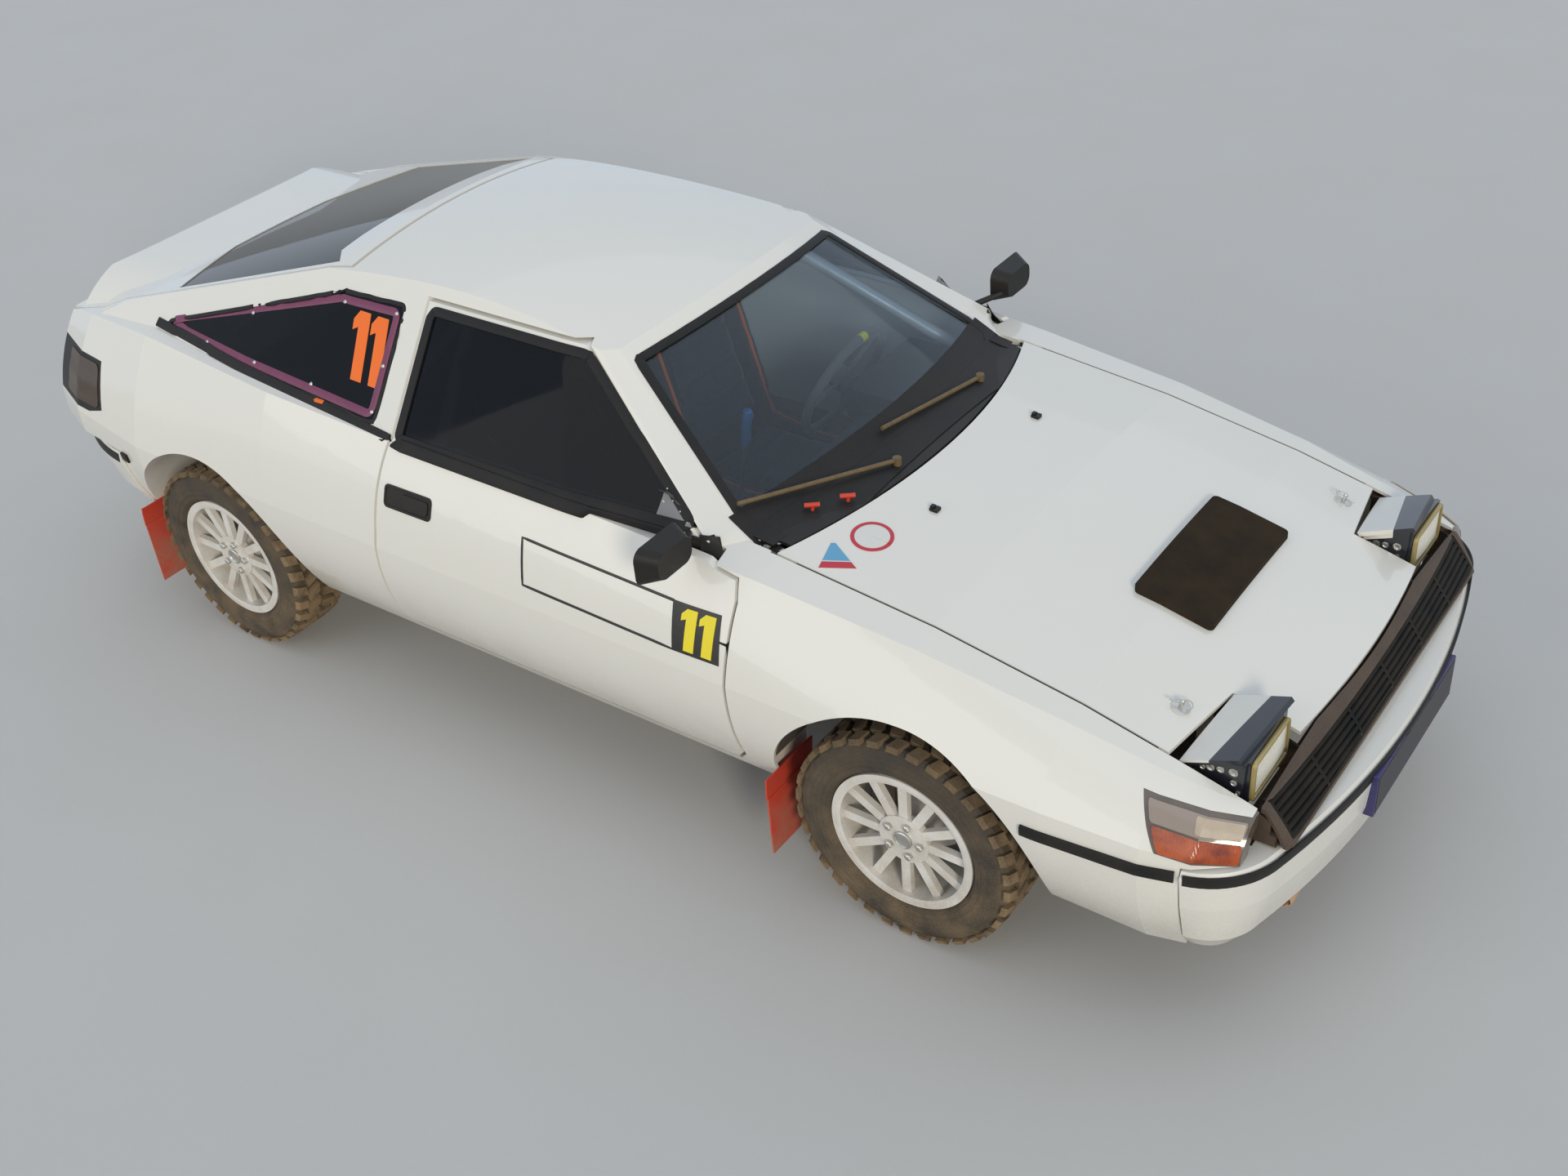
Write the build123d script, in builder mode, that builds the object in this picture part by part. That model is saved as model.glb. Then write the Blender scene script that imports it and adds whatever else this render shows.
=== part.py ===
from build123d import *
import os
from math import cos, hypot, radians, sin

os.makedirs("parts", exist_ok=True)

# Rally car, in millimetres: +X forward, +Y to the driver's left, +Z up.
# The origin is on the ground, below the middle of the car.

# Overall sizes
LENGTH = 4365
ROOF_Z = 1332
FRONT_END = LENGTH / 2
REAR_END = -LENGTH / 2

# Axles and wheels
WHEELBASE = 2525
FRONT_AXLE_X = 1210
REAR_AXLE_X = FRONT_AXLE_X - WHEELBASE
WHEEL_Y = 732
TYRE_R = 317
TYRE_W = 195
RIM_SEAT_R = 190
RIM_FLANGE_R = 205
RIM_W = 168
RIM_WALL = 9
SPOKES = 12
SPOKE_W = 26
SPOKE_T = 22
HUB_FACE_Y = 802
HUB_R = 72
SPINDLE_R = 20
DISC_R = 106
DISC_T = 20
DISC_Y = 676
RUN = 0.3

# Wheel arches and what the steered wheels need
ARCH_R = 388
FRONT_ARCH_Y = 452
REAR_ARCH_Y = 590
HOUSE_T = 12
FLAP_W = 205
FLAP_T = 5
FLAP_FOOT_Z = 118

# Steering axes: the lower ball joint and the strut's top mount
BALL_Y = 690
BALL_Z = 172
BALL_R = 14
STRUT_TOP_Y = 560
STRUT_TOP_Z = 790
STRUT_R = 24

# Panels and glass
HOOD_GAP = 7
DOOR_GAP = 9
HATCH_GAP = 8
HATCH_SEAM = 14
SKIN = 9
CABIN_WALL = 24
CABIN_HALF = 712
GLASS_SINK = 3
GLASS_T = 5
FLOOR_Z = 308
FLOOR_T = 22
FLOOR_TOP = FLOOR_Z + FLOOR_T

# Lower body, as cross-sections from the nose to the tail.
# Columns: x, crown z, crest y, crest z, widest y, widest z, sill y, sill z
BODY_ROWS = [
    (2112, 612, 575, 590, 632, 500, 590, 290),
    (2046, 707, 612, 668, 706, 595, 660, 280),
    (1950, 734, 646, 692, 779, 600, 715, 275),
    (1840, 762, 668, 720, 814, 608, 742, 275),
    (1600, 820, 692, 779, 840, 625, 754, 290),
    (1210, 892, 712, 850, 855, 640, 758, 300),
    (760, 944, 730, 903, 855, 645, 758, 305),
    (600, 952, 737, 917, 855, 647, 758, 305),
    (155, 966, 741, 944, 855, 650, 758, 305),
    (-463, 972, 746, 950, 855, 650, 758, 305),
    (-1000, 985, 738, 966, 855, 652, 758, 305),
    (-1609, 1000, 694, 984, 848, 665, 750, 320),
    (-1950, 975, 650, 960, 806, 685, 715, 355),
    (-2116, 945, 606, 930, 742, 690, 670, 400),
]
SHOULDER_BULGE = 17
TUCK_BULGE = 28
TAIL_X = BODY_ROWS[-1][0]

# Glasshouse, as half of its plan outline at the belt and at the roof rails.
# Columns: name, x and y at the belt, x and y at the rails
BELT_Z = 945
RAIL_Z = 1265
CABIN_FOOT_Z = 900
CABIN_PLAN = [
    ("screen centre", 762, 0, 239, 0),
    ("screen corner", 622, 612, 130, 436),
    ("front pillar", 600, 698, 85, 463),
    ("door", 155, 741, -30, 465),
    ("middle pillar", -463, 746, -515, 466),
    ("quarter", -1250, 713, -700, 463),
    ("hatch corner", -2070, 638, -905, 455),
    ("hatch centre", -2112, 0, -1029, 0),
]
ROOF_CROWN_X = -420
ROOF_LENGTH_R = 4200
ROOF_WIDTH_R = 2400

# Door outline at the outer skin.
# Columns: x, z, skin y, lean of the closing face in x per millimetre inwards
DOOR_OUTLINE = [
    (725, 390, 800, 0),
    (725, 850, 785, 0),
    (712, 893, 750, 0),
    (642, 905, 735, 0),
    (62, 1254, 470, 0),
    (-510, 1254, 474, 0.30),
    (-478, 958, 740, 0.28),
    (-505, 700, 850, 0.12),
    (-524, 372, 775, 0.12),
    (-500, 348, 770, 0),
    (690, 348, 770, 0),
]
# Side windows, seen from the side. Columns: x, z
DOOR_WINDOW = [(552, 962), (82, 1234), (-488, 1234), (-456, 962)]
QUARTER_WINDOW = [(-566, 968), (-592, 1228), (-838, 1220), (-1588, 1006), (-1500, 992)]
# Hinge axis of the doors, and the heights of the two hinges
DOOR_AXIS_X = 625
DOOR_AXIS_Y = 812
DOOR_HINGES_Z = (530, 730)
DOOR_OPEN = 65

# Hood outline seen from above, its hinge axis and its scoop
HOOD_HALF = 620
HOOD_REAR_X = 752
HOOD_REAR_BULGE = 120
HOOD_FRONT_X = 2046
HOOD_FRONT_CORNER_X = 2021
NOTCH_Y = 373
NOTCH_REAR = ((1854, NOTCH_Y), (1813, HOOD_HALF))
HOOD_AXIS = (700, 893)
SCOOP_FRONT_X = 1736
SCOOP_REAR_X = 1528
SCOOP_HALF = 232
SCOOP_H = 16

# Pop-up headlamps: closed lid seen from above, pivot, and how far they are raised
LID_OUTLINE = [(1888, 380), (1849, 614), (1988, 609), (2030, 386)]
LID_T = 12
LID_AXIS = (1858, 700)
LID_PIN_R = 5
LAMP_RAISE = 37.5
LAMP_INNER_Y = 400
LAMP_OUTER_Y = 600

# Corner and tail lamps, as the outlines of their lenses seen from the side
CORNER_LAMP = [(1872, 602), (1804, 704), (2036, 662), (2036, 572), (1950, 586)]
TAIL_LAMP = [(-1802, 722), (-1826, 862), (-2130, 862), (-2130, 700), (-1880, 700)]

# Hatch and its hinges
HATCH_FRONT_X = -864
HATCH_FOOT_Z = 908
HATCH_GLASS = [(-1012, 250), (-1000, 352), (-928, 424), (-1612, 528), (-1735, 200)]

# Lip along the tail, from the foot of the hatch glass to its upper edge.
# Columns: x, z
TAIL_LIP = [(-1748, 1000), (-1748, 1045), (-2040, 1036), (-2095, 1014), (-2112, 985), (-2112, 925), (-1990, 925)]
TAIL_LIP_HALF = 606
TAIL_LIP_FLAT = 340
HATCH_AXIS = (-900, 1284)
HATCH_HINGE_Y = 200
HATCH_OPEN = 62

# Bumpers, as plan outlines from the bottom up.
# Columns: z, end x, corner x, corner y, side y
FRONT_BUMPER_ROWS = [
    (262, 2105, 2010, 600, 700),
    (330, 2152, 2062, 632, 752),
    (450, 2176, 2088, 642, 784),
    (548, FRONT_END, 2095, 648, 799),
    (568, 2168, 2080, 642, 790),
]
FRONT_BUMPER_SIDE_X = 1932
REAR_BUMPER_ROWS = [
    (330, -2110, -2020, 620, 745),
    (430, -2165, -2070, 665, 800),
    (560, REAR_END, -2088, 692, 838),
    (600, -2170, -2078, 684, 834),
]
REAR_BUMPER_SIDE_X = -1735
BUMPER_T = 12
SEAM = 4


def bulged(start, end, depth):
    """The middle of a line from start to end, moved out to its right by depth."""
    across, up = end[0] - start[0], end[1] - start[1]
    reach = hypot(across, up)
    middle = ((start[0] + end[0]) / 2, (start[1] + end[1]) / 2)
    return (middle[0] + depth * up / reach, middle[1] - depth * across / reach)


def lower_body(rows, inset=0.0):
    """The lower body between the first and last row, with its faces moved in by inset."""
    with BuildPart() as hull:
        for x, crown_z, crest_y, crest_z, wide_y, wide_z, sill_y, sill_z in rows:
            sill = (sill_y - inset, sill_z)
            wide = (wide_y - inset, wide_z)
            crest = (crest_y - 0.7 * inset, crest_z - inset)
            tuck = bulged(sill, wide, TUCK_BULGE)
            shoulder = bulged(wide, crest, SHOULDER_BULGE)
            with BuildSketch(Plane.YZ.offset(x)):
                with BuildLine():
                    for side in (-1, 1):
                        ThreePointArc(*[(side * y, z) for y, z in (sill, tuck, wide)])
                        ThreePointArc(*[(side * y, z) for y, z in (wide, shoulder, crest)])
                    ThreePointArc((-crest[0], crest[1]), (0, crown_z - inset), crest)
                    Line((-sill[0], sill[1]), sill)
                make_face()
        loft(ruled=True)
    return hull.part


def cabin_outline(z, inset=0.0):
    """The glasshouse outline at height z: the named points of CABIN_PLAN, moved in by inset."""
    share = (z - BELT_Z) / (RAIL_Z - BELT_Z)
    outline = {}
    for name, belt_x, belt_y, rail_x, rail_y in CABIN_PLAN:
        slope_x = (rail_x - belt_x) / (RAIL_Z - BELT_Z)
        slope_y = (rail_y - belt_y) / (RAIL_Z - BELT_Z)
        x, y = belt_x + share * (rail_x - belt_x), belt_y + share * (rail_y - belt_y)
        if z < BELT_Z and "screen" not in name:
            x, y = belt_x, belt_y - GLASS_SINK - GLASS_T
        if "screen" in name:
            x -= inset * hypot(1, slope_x)
        if "hatch" in name:
            x += inset * hypot(1, slope_x)
        if "centre" not in name:
            y -= inset * hypot(1, slope_y)
        outline[name] = (x, y)
    return outline


def glasshouse(inset=0.0):
    """The glasshouse from below the belt to the roof, whose top is part of a torus."""
    ring_z = ROOF_Z - ROOF_LENGTH_R
    sweep, edge, depth = 22, 900, 900
    start = radians(90 + sweep)
    tilted = Plane(
        origin=(ROOF_CROWN_X, 0, ring_z),
        x_dir=(0, 1, 0),
        z_dir=(sin(start), 0, -cos(start)),
    )
    crown = ROOF_LENGTH_R - inset
    brow = crown - ROOF_WIDTH_R + (ROOF_WIDTH_R**2 - edge**2) ** 0.5
    with BuildPart() as roof:
        with BuildSketch(tilted):
            with BuildLine():
                ThreePointArc((-edge, brow), (0, crown), (edge, brow))
                Polyline((edge, brow), (edge, crown - depth), (-edge, crown - depth), (-edge, brow))
            make_face()
        revolve(axis=Axis((ROOF_CROWN_X, 0, ring_z), (0, 1, 0)), revolution_arc=2 * sweep)
    with BuildPart() as house:
        for z in (CABIN_FOOT_Z, BELT_Z, ROOF_Z - inset + 1):
            spots = cabin_outline(z, inset)
            corners = [spots[row[0]] for row in CABIN_PLAN]
            with BuildSketch(Plane.XY.offset(z)):
                with BuildLine():
                    for middle, corner in ((corners[0], corners[1]), (corners[-1], corners[-2])):
                        ThreePointArc((corner[0], -corner[1]), middle, corner)
                    Polyline(*corners[1:-1])
                    Polyline(*[(x, -y) for x, y in corners[1:-1]])
                make_face()
        loft(ruled=True)
        add(roof.part, mode=Mode.INTERSECT)
    return house.part


def side_prism(points, side=0):
    """A prism across the car over an outline of x and z points; side keeps one side of the car."""
    reach = 1000
    with BuildPart() as prism:
        with BuildSketch(Plane.XZ.offset(-reach if side >= 0 else 0)):
            with BuildLine():
                Polyline(*points, close=True)
            make_face()
        extrude(amount=reach if side else 2 * reach)
    return prism.part


def inset_outline(points, gap):
    """An outline with each corner moved towards the middle by a gap in both directions."""
    middle_x = sum(x for x, _ in points) / len(points)
    middle_z = sum(z for _, z in points) / len(points)
    return [(x + (gap if x < middle_x else -gap), z + (gap if z < middle_z else -gap)) for x, z in points]


def plan_prism(points, low, high):
    """An upright prism over an outline of x and y points, from low to high."""
    with BuildPart() as prism:
        with BuildSketch(Plane.XY.offset(low)):
            with BuildLine():
                Polyline(*points, close=True)
            make_face()
        extrude(amount=high - low)
    return prism.part


def block(corner, opposite):
    """A box between two opposite corners, given in any order."""
    with BuildPart() as box:
        with Locations(tuple((a + b) / 2 for a, b in zip(corner, opposite))):
            Box(*[abs(b - a) for a, b in zip(corner, opposite)])
    return box.part


def rod(start, end, radius):
    """A round bar from start to end."""
    line = Vector(*end) - Vector(*start)
    with BuildPart() as bar:
        with BuildSketch(Plane(origin=start, z_dir=line)):
            Circle(radius)
        extrude(amount=line.length)
    return bar.part


def mirrored(part):
    """The same piece on the other side of the car."""
    with BuildPart() as other:
        add(part)
        mirror(about=Plane.XZ, mode=Mode.REPLACE)
    return other.part


def save(part, name):
    """Labels a finished piece and writes it to its own file."""
    part.label = name
    export_step(part, f"parts/{name}.step")


def door_cutter(side, grow=0.0):
    """The door's closing faces as one solid, grown by grow; its rear face leans with the swing."""
    with BuildPart() as cutter:
        for y in (900, 380):
            outline = [(x + lean * (skin - y), z) for x, z, skin, lean in DOOR_OUTLINE]
            with BuildSketch(Plane.XZ.offset(-side * y)):
                with BuildLine():
                    Polyline(*outline, close=True)
                make_face()
                if grow:
                    offset(amount=grow, kind=Kind.INTERSECTION, mode=Mode.REPLACE)
        loft(ruled=True)
    return cutter.part


def hood_outline(grow=0.0):
    """The hood from above: a bulged rear edge, and notches round the headlamp lids."""
    (notch_x, notch_y), (corner_x, _) = NOTCH_REAR
    half = HOOD_HALF + grow
    with BuildPart() as prism:
        with BuildSketch(Plane.XY.offset(FLOOR_Z)):
            with BuildLine():
                rear = (HOOD_REAR_X - grow, half)
                ThreePointArc((rear[0], -half), (rear[0] + HOOD_REAR_BULGE, 0), rear)
                for side in (-1, 1):
                    Polyline(
                        (rear[0], side * half),
                        (corner_x + grow, side * half),
                        (notch_x + grow, side * (notch_y + grow)),
                        (HOOD_FRONT_CORNER_X + grow, side * (notch_y + grow)),
                    )
                nose = (HOOD_FRONT_CORNER_X + grow, notch_y + grow)
                ThreePointArc((nose[0], -nose[1]), (HOOD_FRONT_X + grow, 0), nose)
            make_face()
        extrude(amount=ROOF_Z - FLOOR_Z)
    return prism.part


def arch_cylinder(axle_x, inner_y, radius, side):
    """The round space of a wheel arch, from inner_y outwards."""
    return rod((axle_x, side * inner_y, TYRE_R), (axle_x, side * 1000, TYRE_R), radius)


def bumper(rows, side_x, inset=0.0):
    """A wrap-round bumper: plan outlines of two corner arcs and one long arc, lofted upwards."""
    ahead = 1 if rows[0][1] > 0 else -1
    with BuildPart() as cover:
        for z, end_x, corner_x, corner_y, side_y in rows:
            tip = (end_x - ahead * inset, 0)
            corner = (corner_x - ahead * inset, corner_y - inset)
            flank = (side_x, side_y - inset)
            turn = bulged(flank, corner, -30 * ahead) if ahead > 0 else bulged(flank, corner, 30)
            with BuildSketch(Plane.XY.offset(z)):
                with BuildLine():
                    ThreePointArc((corner[0], -corner[1]), tip, corner)
                    for side in (-1, 1):
                        ThreePointArc(*[(x, side * y) for x, y in (corner, turn, flank)])
                    Line((flank[0], -flank[1]), flank)
                make_face()
        loft(ruled=True)
    return cover.part


front_rows = [row for row in BODY_ROWS if row[0] >= 600]
cabin_rows = [row for row in BODY_ROWS if row[0] <= 760]
front_hull = lower_body(front_rows)
front_core = lower_body(front_rows, SKIN)
cabin_hull = lower_body(cabin_rows)
cabin_core = lower_body(cabin_rows, SKIN)
house = glasshouse()
house_core = glasshouse(CABIN_WALL)

# Doors, glass and shell from one wall
with BuildPart() as cabin_outer:
    add(cabin_hull)
    add(house)
COWL_BEAM_X = 590
COWL_BEAM_Z = 880
with BuildPart() as cabin_void:
    for front_x, low, high in ((800, 150, COWL_BEAM_Z), (COWL_BEAM_X, COWL_BEAM_Z, BELT_Z - 15)):
        taper = [(front_x, CABIN_HALF), (-1500, CABIN_HALF), (-1640, 640), (-2060, 555)]
        add(plan_prism(taper + [(x, -y) for x, y in reversed(taper)], low, high))
    add(house_core)
    for side in (-1, 1):
        well = arch_cylinder(REAR_AXLE_X, REAR_ARCH_Y - HOUSE_T, ARCH_R + HOUSE_T, side)
        add(well, mode=Mode.SUBTRACT)
with BuildPart() as wall:
    add(cabin_outer.part)
    add(cabin_void.part, mode=Mode.SUBTRACT)
with BuildPart() as pane:
    add(glasshouse(GLASS_SINK))
    add(glasshouse(GLASS_SINK + GLASS_T), mode=Mode.SUBTRACT)

with BuildPart() as screen_cut:
    with BuildSketch(Plane.YZ.offset(90)):
        with BuildLine():
            ThreePointArc((-596, 926), (0, 953), (596, 926))
            ThreePointArc((-430, 1226), (0, 1254), (430, 1226))
            Line((-596, 926), (-430, 1226))
            Line((596, 926), (430, 1226))
        make_face()
    extrude(amount=800)
glass_half = HATCH_GLASS + [(x, -y) for x, y in reversed(HATCH_GLASS)]
hatch_glass_cut = plan_prism(glass_half, 920, ROOF_Z)

# Front and rear bumpers
covers = {}
for rows, side_x, name in (
    (FRONT_BUMPER_ROWS, FRONT_BUMPER_SIDE_X, "front_bumper"),
    (REAR_BUMPER_ROWS, REAR_BUMPER_SIDE_X, "rear_bumper"),
):
    with BuildPart() as cover:
        add(bumper(rows, side_x))
        hollow = [(z - (BUMPER_T if z == rows[-1][0] else 0), *rest) for z, *rest in rows]
        add(bumper(hollow, side_x, BUMPER_T), mode=Mode.SUBTRACT)
        top_z = rows[-1][0]
        inner_x, outer_x = (1900, 2030) if side_x > 0 else (-2105, side_x + 1)
        add(block((inner_x, -640, top_z - 40), (outer_x, 640, top_z + 5)), mode=Mode.SUBTRACT)
    save(cover.part, name)
    covers[name] = cover.part


# Hood with its scoop and hinge ears
with BuildPart() as hood:
    add(front_hull)
    add(front_core, mode=Mode.SUBTRACT)
    add(hood_outline(), mode=Mode.INTERSECT)
    add(block((HOOD_REAR_X - 20, -HOOD_HALF - 5, 600), (FRONT_END, HOOD_HALF + 5, ROOF_Z)), mode=Mode.INTERSECT)
    axis_x, axis_z = HOOD_AXIS
    for side in (-1, 1):
        with BuildSketch(Plane.XZ.offset(-side * 594)):
            with BuildLine():
                Polyline(
                    (axis_x - 13, axis_z - 10),
                    (axis_x + 140, axis_z - 26),
                    (axis_x + 140, axis_z + 8),
                    (axis_x + 75, axis_z + 18),
                    (axis_x + 10, axis_z + 9),
                    (axis_x - 13, axis_z + 9),
                    close=True,
                )
            make_face()
            with Locations((axis_x, axis_z)):
                Circle(6 + RUN, mode=Mode.SUBTRACT)
        extrude(amount=6, both=True)
save(hood.part, "hood")

with BuildPart() as hood_scoop:
    with BuildSketch(Plane.XY.offset(600)):
        with Locations(((SCOOP_FRONT_X + SCOOP_REAR_X) / 2, 0)):
            Rectangle(SCOOP_FRONT_X - SCOOP_REAR_X, 2 * SCOOP_HALF)
    extrude(amount=400)
    fillet(hood_scoop.edges().filter_by(Axis.Z), 14)
    add(front_hull.moved(Location((0, 0, SCOOP_H))), mode=Mode.INTERSECT)
    add(front_hull, mode=Mode.SUBTRACT)
save(hood_scoop.part, "hood_scoop")

# Front fenders
for side, name in ((-1, "fender_right"), (1, "fender_left")):
    fender_side = [
        (DOOR_OUTLINE[0][0] + DOOR_GAP, 200),
        (DOOR_OUTLINE[0][0] + DOOR_GAP, 960),
        (2030, 960),
        (2030, 574),
        (FRONT_BUMPER_SIDE_X - SEAM, 574),
        (FRONT_BUMPER_SIDE_X - SEAM, 200),
    ]
    with BuildPart() as fender:
        add(front_hull)
        add(front_core, mode=Mode.SUBTRACT)
        add(side_prism(fender_side, side), mode=Mode.INTERSECT)
        outboard = block((700, side * (HOOD_HALF + HOOD_GAP), 200), (2100, side * 900, 960))
        add(outboard, mode=Mode.INTERSECT)
        add(arch_cylinder(FRONT_AXLE_X, FRONT_ARCH_Y, ARCH_R, side), mode=Mode.SUBTRACT)
        add(side_prism(CORNER_LAMP, side), mode=Mode.SUBTRACT)
    save(fender.part, name)

# Corner lamps, let into the fenders
with BuildPart() as corner_lamps:
    add(lower_body(front_rows, 1))
    add(lower_body(front_rows, 45), mode=Mode.SUBTRACT)
    add(side_prism(inset_outline(CORNER_LAMP, RUN)), mode=Mode.INTERSECT)
    inboard = block((1700, -HOOD_HALF - HOOD_GAP, 200), (2100, HOOD_HALF + HOOD_GAP, 960))
    add(inboard, mode=Mode.SUBTRACT)
save(corner_lamps.part, "corner_lamps")

# Nose: the fascia in front of hood and lids, the grille opening and a well under each lid
LID_GAP = 12
WELL_WALLS = ((NOTCH_Y - 7, NOTCH_Y), (HOOD_HALF - 1, HOOD_HALF + 5))
NOSE_FOOT_Z = 574
GRILLE_HALF = 596
GRILLE_LOW_Z = 588
GRILLE_HIGH_Z = 672
with BuildPart() as nose_skin:
    add(front_hull)
    add(lower_body(front_rows, 14), mode=Mode.SUBTRACT)
    with BuildPart(mode=Mode.PRIVATE) as front_face:
        add(front_hull)
        add(block((BODY_ROWS[0][0] - 14, -900, 0), (BODY_ROWS[0][0], 900, 900)), mode=Mode.INTERSECT)
    add(front_face.part)
    add(block((2036, -HOOD_HALF, NOSE_FOOT_Z), (FRONT_END, HOOD_HALF, 960)), mode=Mode.INTERSECT)
    add(hood_outline(HOOD_GAP), mode=Mode.SUBTRACT)
    add(block((2030, -GRILLE_HALF, GRILLE_LOW_Z), (FRONT_END, GRILLE_HALF, GRILLE_HIGH_Z)), mode=Mode.SUBTRACT)
axis_x, axis_z = LID_AXIS
with BuildPart() as nose_panel:
    add(nose_skin.part)
    for side in (-1, 1):
        for inner_y, outer_y in WELL_WALLS:
            with BuildSketch(Plane.XZ.offset(-side * inner_y)):
                with BuildLine():
                    Polyline(
                        (axis_x - 45, NOSE_FOOT_Z),
                        (axis_x - 45, axis_z + 10),
                        (axis_x + 17, axis_z + 10),
                        (2045, 645),
                        (2062, 636),
                        (2062, NOSE_FOOT_Z),
                        close=True,
                    )
                make_face()
            extrude(amount=side * (inner_y - outer_y))
        add(block((1985, side * WELL_WALLS[0][0], NOSE_FOOT_Z), (2080, side * WELL_WALLS[1][1], NOSE_FOOT_Z + 6)))
        add(block((2050, side * GRILLE_HALF, NOSE_FOOT_Z), (2076, side * WELL_WALLS[1][1], NOSE_FOOT_Z + 30)))
        for wall_y, lamp_y in ((NOTCH_Y - 2, LAMP_INNER_Y + 1), (HOOD_HALF + 2, LAMP_OUTER_Y - 1)):
            add(rod((axis_x, side * wall_y, axis_z), (axis_x, side * lamp_y, axis_z), LID_PIN_R))
save(nose_panel.part, "nose_panel")

# Grille: slats and posts just inside the fascia's opening
SLAT_T = 7
SLAT_PITCH = 14
with BuildPart() as grille:
    with BuildPart(mode=Mode.PRIVATE) as slat_band:
        add(lower_body(front_rows, 3))
        add(lower_body(front_rows, 15), mode=Mode.SUBTRACT)
        with BuildPart(mode=Mode.PRIVATE) as slat_face:
            add(lower_body(front_rows, 3))
            add(block((2100, -900, 0), (2109, 900, 900)), mode=Mode.INTERSECT)
        add(slat_face.part)
    slats = []
    slat_z = GRILLE_LOW_Z + 4
    while slat_z + SLAT_T < GRILLE_HIGH_Z:
        slats.append(block((2030, -GRILLE_HALF, slat_z), (2109, GRILLE_HALF, slat_z + SLAT_T)))
        slat_z += SLAT_PITCH
    for y in (-GRILLE_HALF + 5, -400, -200, 0, 200, 400, GRILLE_HALF - 5):
        slats.append(block((2030, y - 5, GRILLE_LOW_Z), (2109, y + 5, GRILLE_HIGH_Z)))
    add(slats)
    add(slat_band.part, mode=Mode.INTERSECT)
save(grille.part, "grille")

# Doors
doors = {}
for side, name in ((-1, "right"), (1, "left")):
    window = side_prism(DOOR_WINDOW, side)
    with BuildPart() as door:
        add(wall.part)
        add(door_cutter(side), mode=Mode.INTERSECT)
        below_belt = block((500, 0, 300), (800, side * CABIN_HALF, BELT_Z - 15))
        sill_nib = block((580, 0, BELT_Z - 20), (800, side * 675, BELT_Z - 4))
        add([window, below_belt, sill_nib], mode=Mode.SUBTRACT)
        for z in DOOR_HINGES_Z:
            pocket = block(
                (DOOR_AXIS_X - 16, side * (CABIN_HALF - 10), z - 25),
                (DOOR_AXIS_X + 110, side * (DOOR_AXIS_Y + 12), z + 25),
            )
            add(pocket, mode=Mode.SUBTRACT)
            bore = rod(
                (DOOR_AXIS_X, side * DOOR_AXIS_Y, z - 46),
                (DOOR_AXIS_X, side * DOOR_AXIS_Y, z + 46),
                7 + RUN,
            )
            add(bore, mode=Mode.SUBTRACT)
    save(door.part, f"door_{name}")
    doors[name] = door.part
    with BuildPart() as glass:
        add(pane.part)
        add(window, mode=Mode.INTERSECT)
    save(glass.part, f"door_glass_{name}")

with BuildPart() as windshield:
    add(pane.part)
    add(screen_cut.part, mode=Mode.INTERSECT)
save(windshield.part, "windshield")
with BuildPart() as quarter_windows:
    add(pane.part)
    add(side_prism(QUARTER_WINDOW), mode=Mode.INTERSECT)
save(quarter_windows.part, "quarter_windows")

# Hatch with its glass
hatch_plan = [(HATCH_FRONT_X, 434), (-2050, 612), (-2130, 600)]
hatch_plan = hatch_plan + [(x, -y) for x, y in reversed(hatch_plan)]
with BuildPart() as hatch:
    add(wall.part)
    add(plan_prism(hatch_plan, HATCH_FOOT_Z, ROOF_Z), mode=Mode.INTERSECT)
    cuts = [hatch_glass_cut]
    hatch_x, hatch_z = HATCH_AXIS
    for side in (-1, 1):
        near, far = side * (HATCH_HINGE_Y - 14), side * (HATCH_HINGE_Y + 14)
        cuts.append(block((hatch_x - 14, near, hatch_z - 60), (HATCH_FRONT_X + 5, far, hatch_z + 6)))
        start = (hatch_x, side * (HATCH_HINGE_Y - 24), hatch_z)
        cuts.append(rod(start, (hatch_x, side * (HATCH_HINGE_Y + 24), hatch_z), 5 + RUN))
    add(cuts, mode=Mode.SUBTRACT)
    with BuildPart(mode=Mode.PRIVATE) as tail_lip:
        with BuildSketch(Plane.XZ.offset(-TAIL_LIP_HALF)):
            with BuildLine():
                Polyline(*TAIL_LIP, close=True)
            make_face()
        extrude(amount=2 * TAIL_LIP_HALF)
        with BuildSketch(Plane.YZ.offset(TAIL_LIP[4][0] - 10)):
            with BuildLine():
                ThreePointArc((-TAIL_LIP_FLAT, 1031), (0, 1045), (TAIL_LIP_FLAT, 1031))
                for way in (-1, 1):
                    edge = way * TAIL_LIP_HALF
                    ThreePointArc((edge, 930), (way * 500, 996), (way * TAIL_LIP_FLAT, 1031))
                Polyline(
                    (-TAIL_LIP_HALF, 930),
                    (-TAIL_LIP_HALF, HATCH_FOOT_Z + 2),
                    (TAIL_LIP_HALF, HATCH_FOOT_Z + 2),
                    (TAIL_LIP_HALF, 930),
                )
            make_face()
        extrude(amount=500, mode=Mode.INTERSECT)
        with BuildSketch(Plane.XY.offset(HATCH_FOOT_Z)):
            with BuildLine():
                ThreePointArc((-2070, -TAIL_LIP_HALF), (TAIL_LIP[4][0], 0), (-2070, TAIL_LIP_HALF))
                Polyline((-2070, TAIL_LIP_HALF), (-1740, 560), (-1740, -560), (-2070, -TAIL_LIP_HALF))
            make_face()
        extrude(amount=300, mode=Mode.INTERSECT)
        add(house_core, mode=Mode.SUBTRACT)
    add(tail_lip.part)
save(hatch.part, "hatch")
with BuildPart() as hatch_glass:
    add(pane.part)
    add(hatch_glass_cut, mode=Mode.INTERSECT)
save(hatch_glass.part, "hatch_glass")


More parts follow.
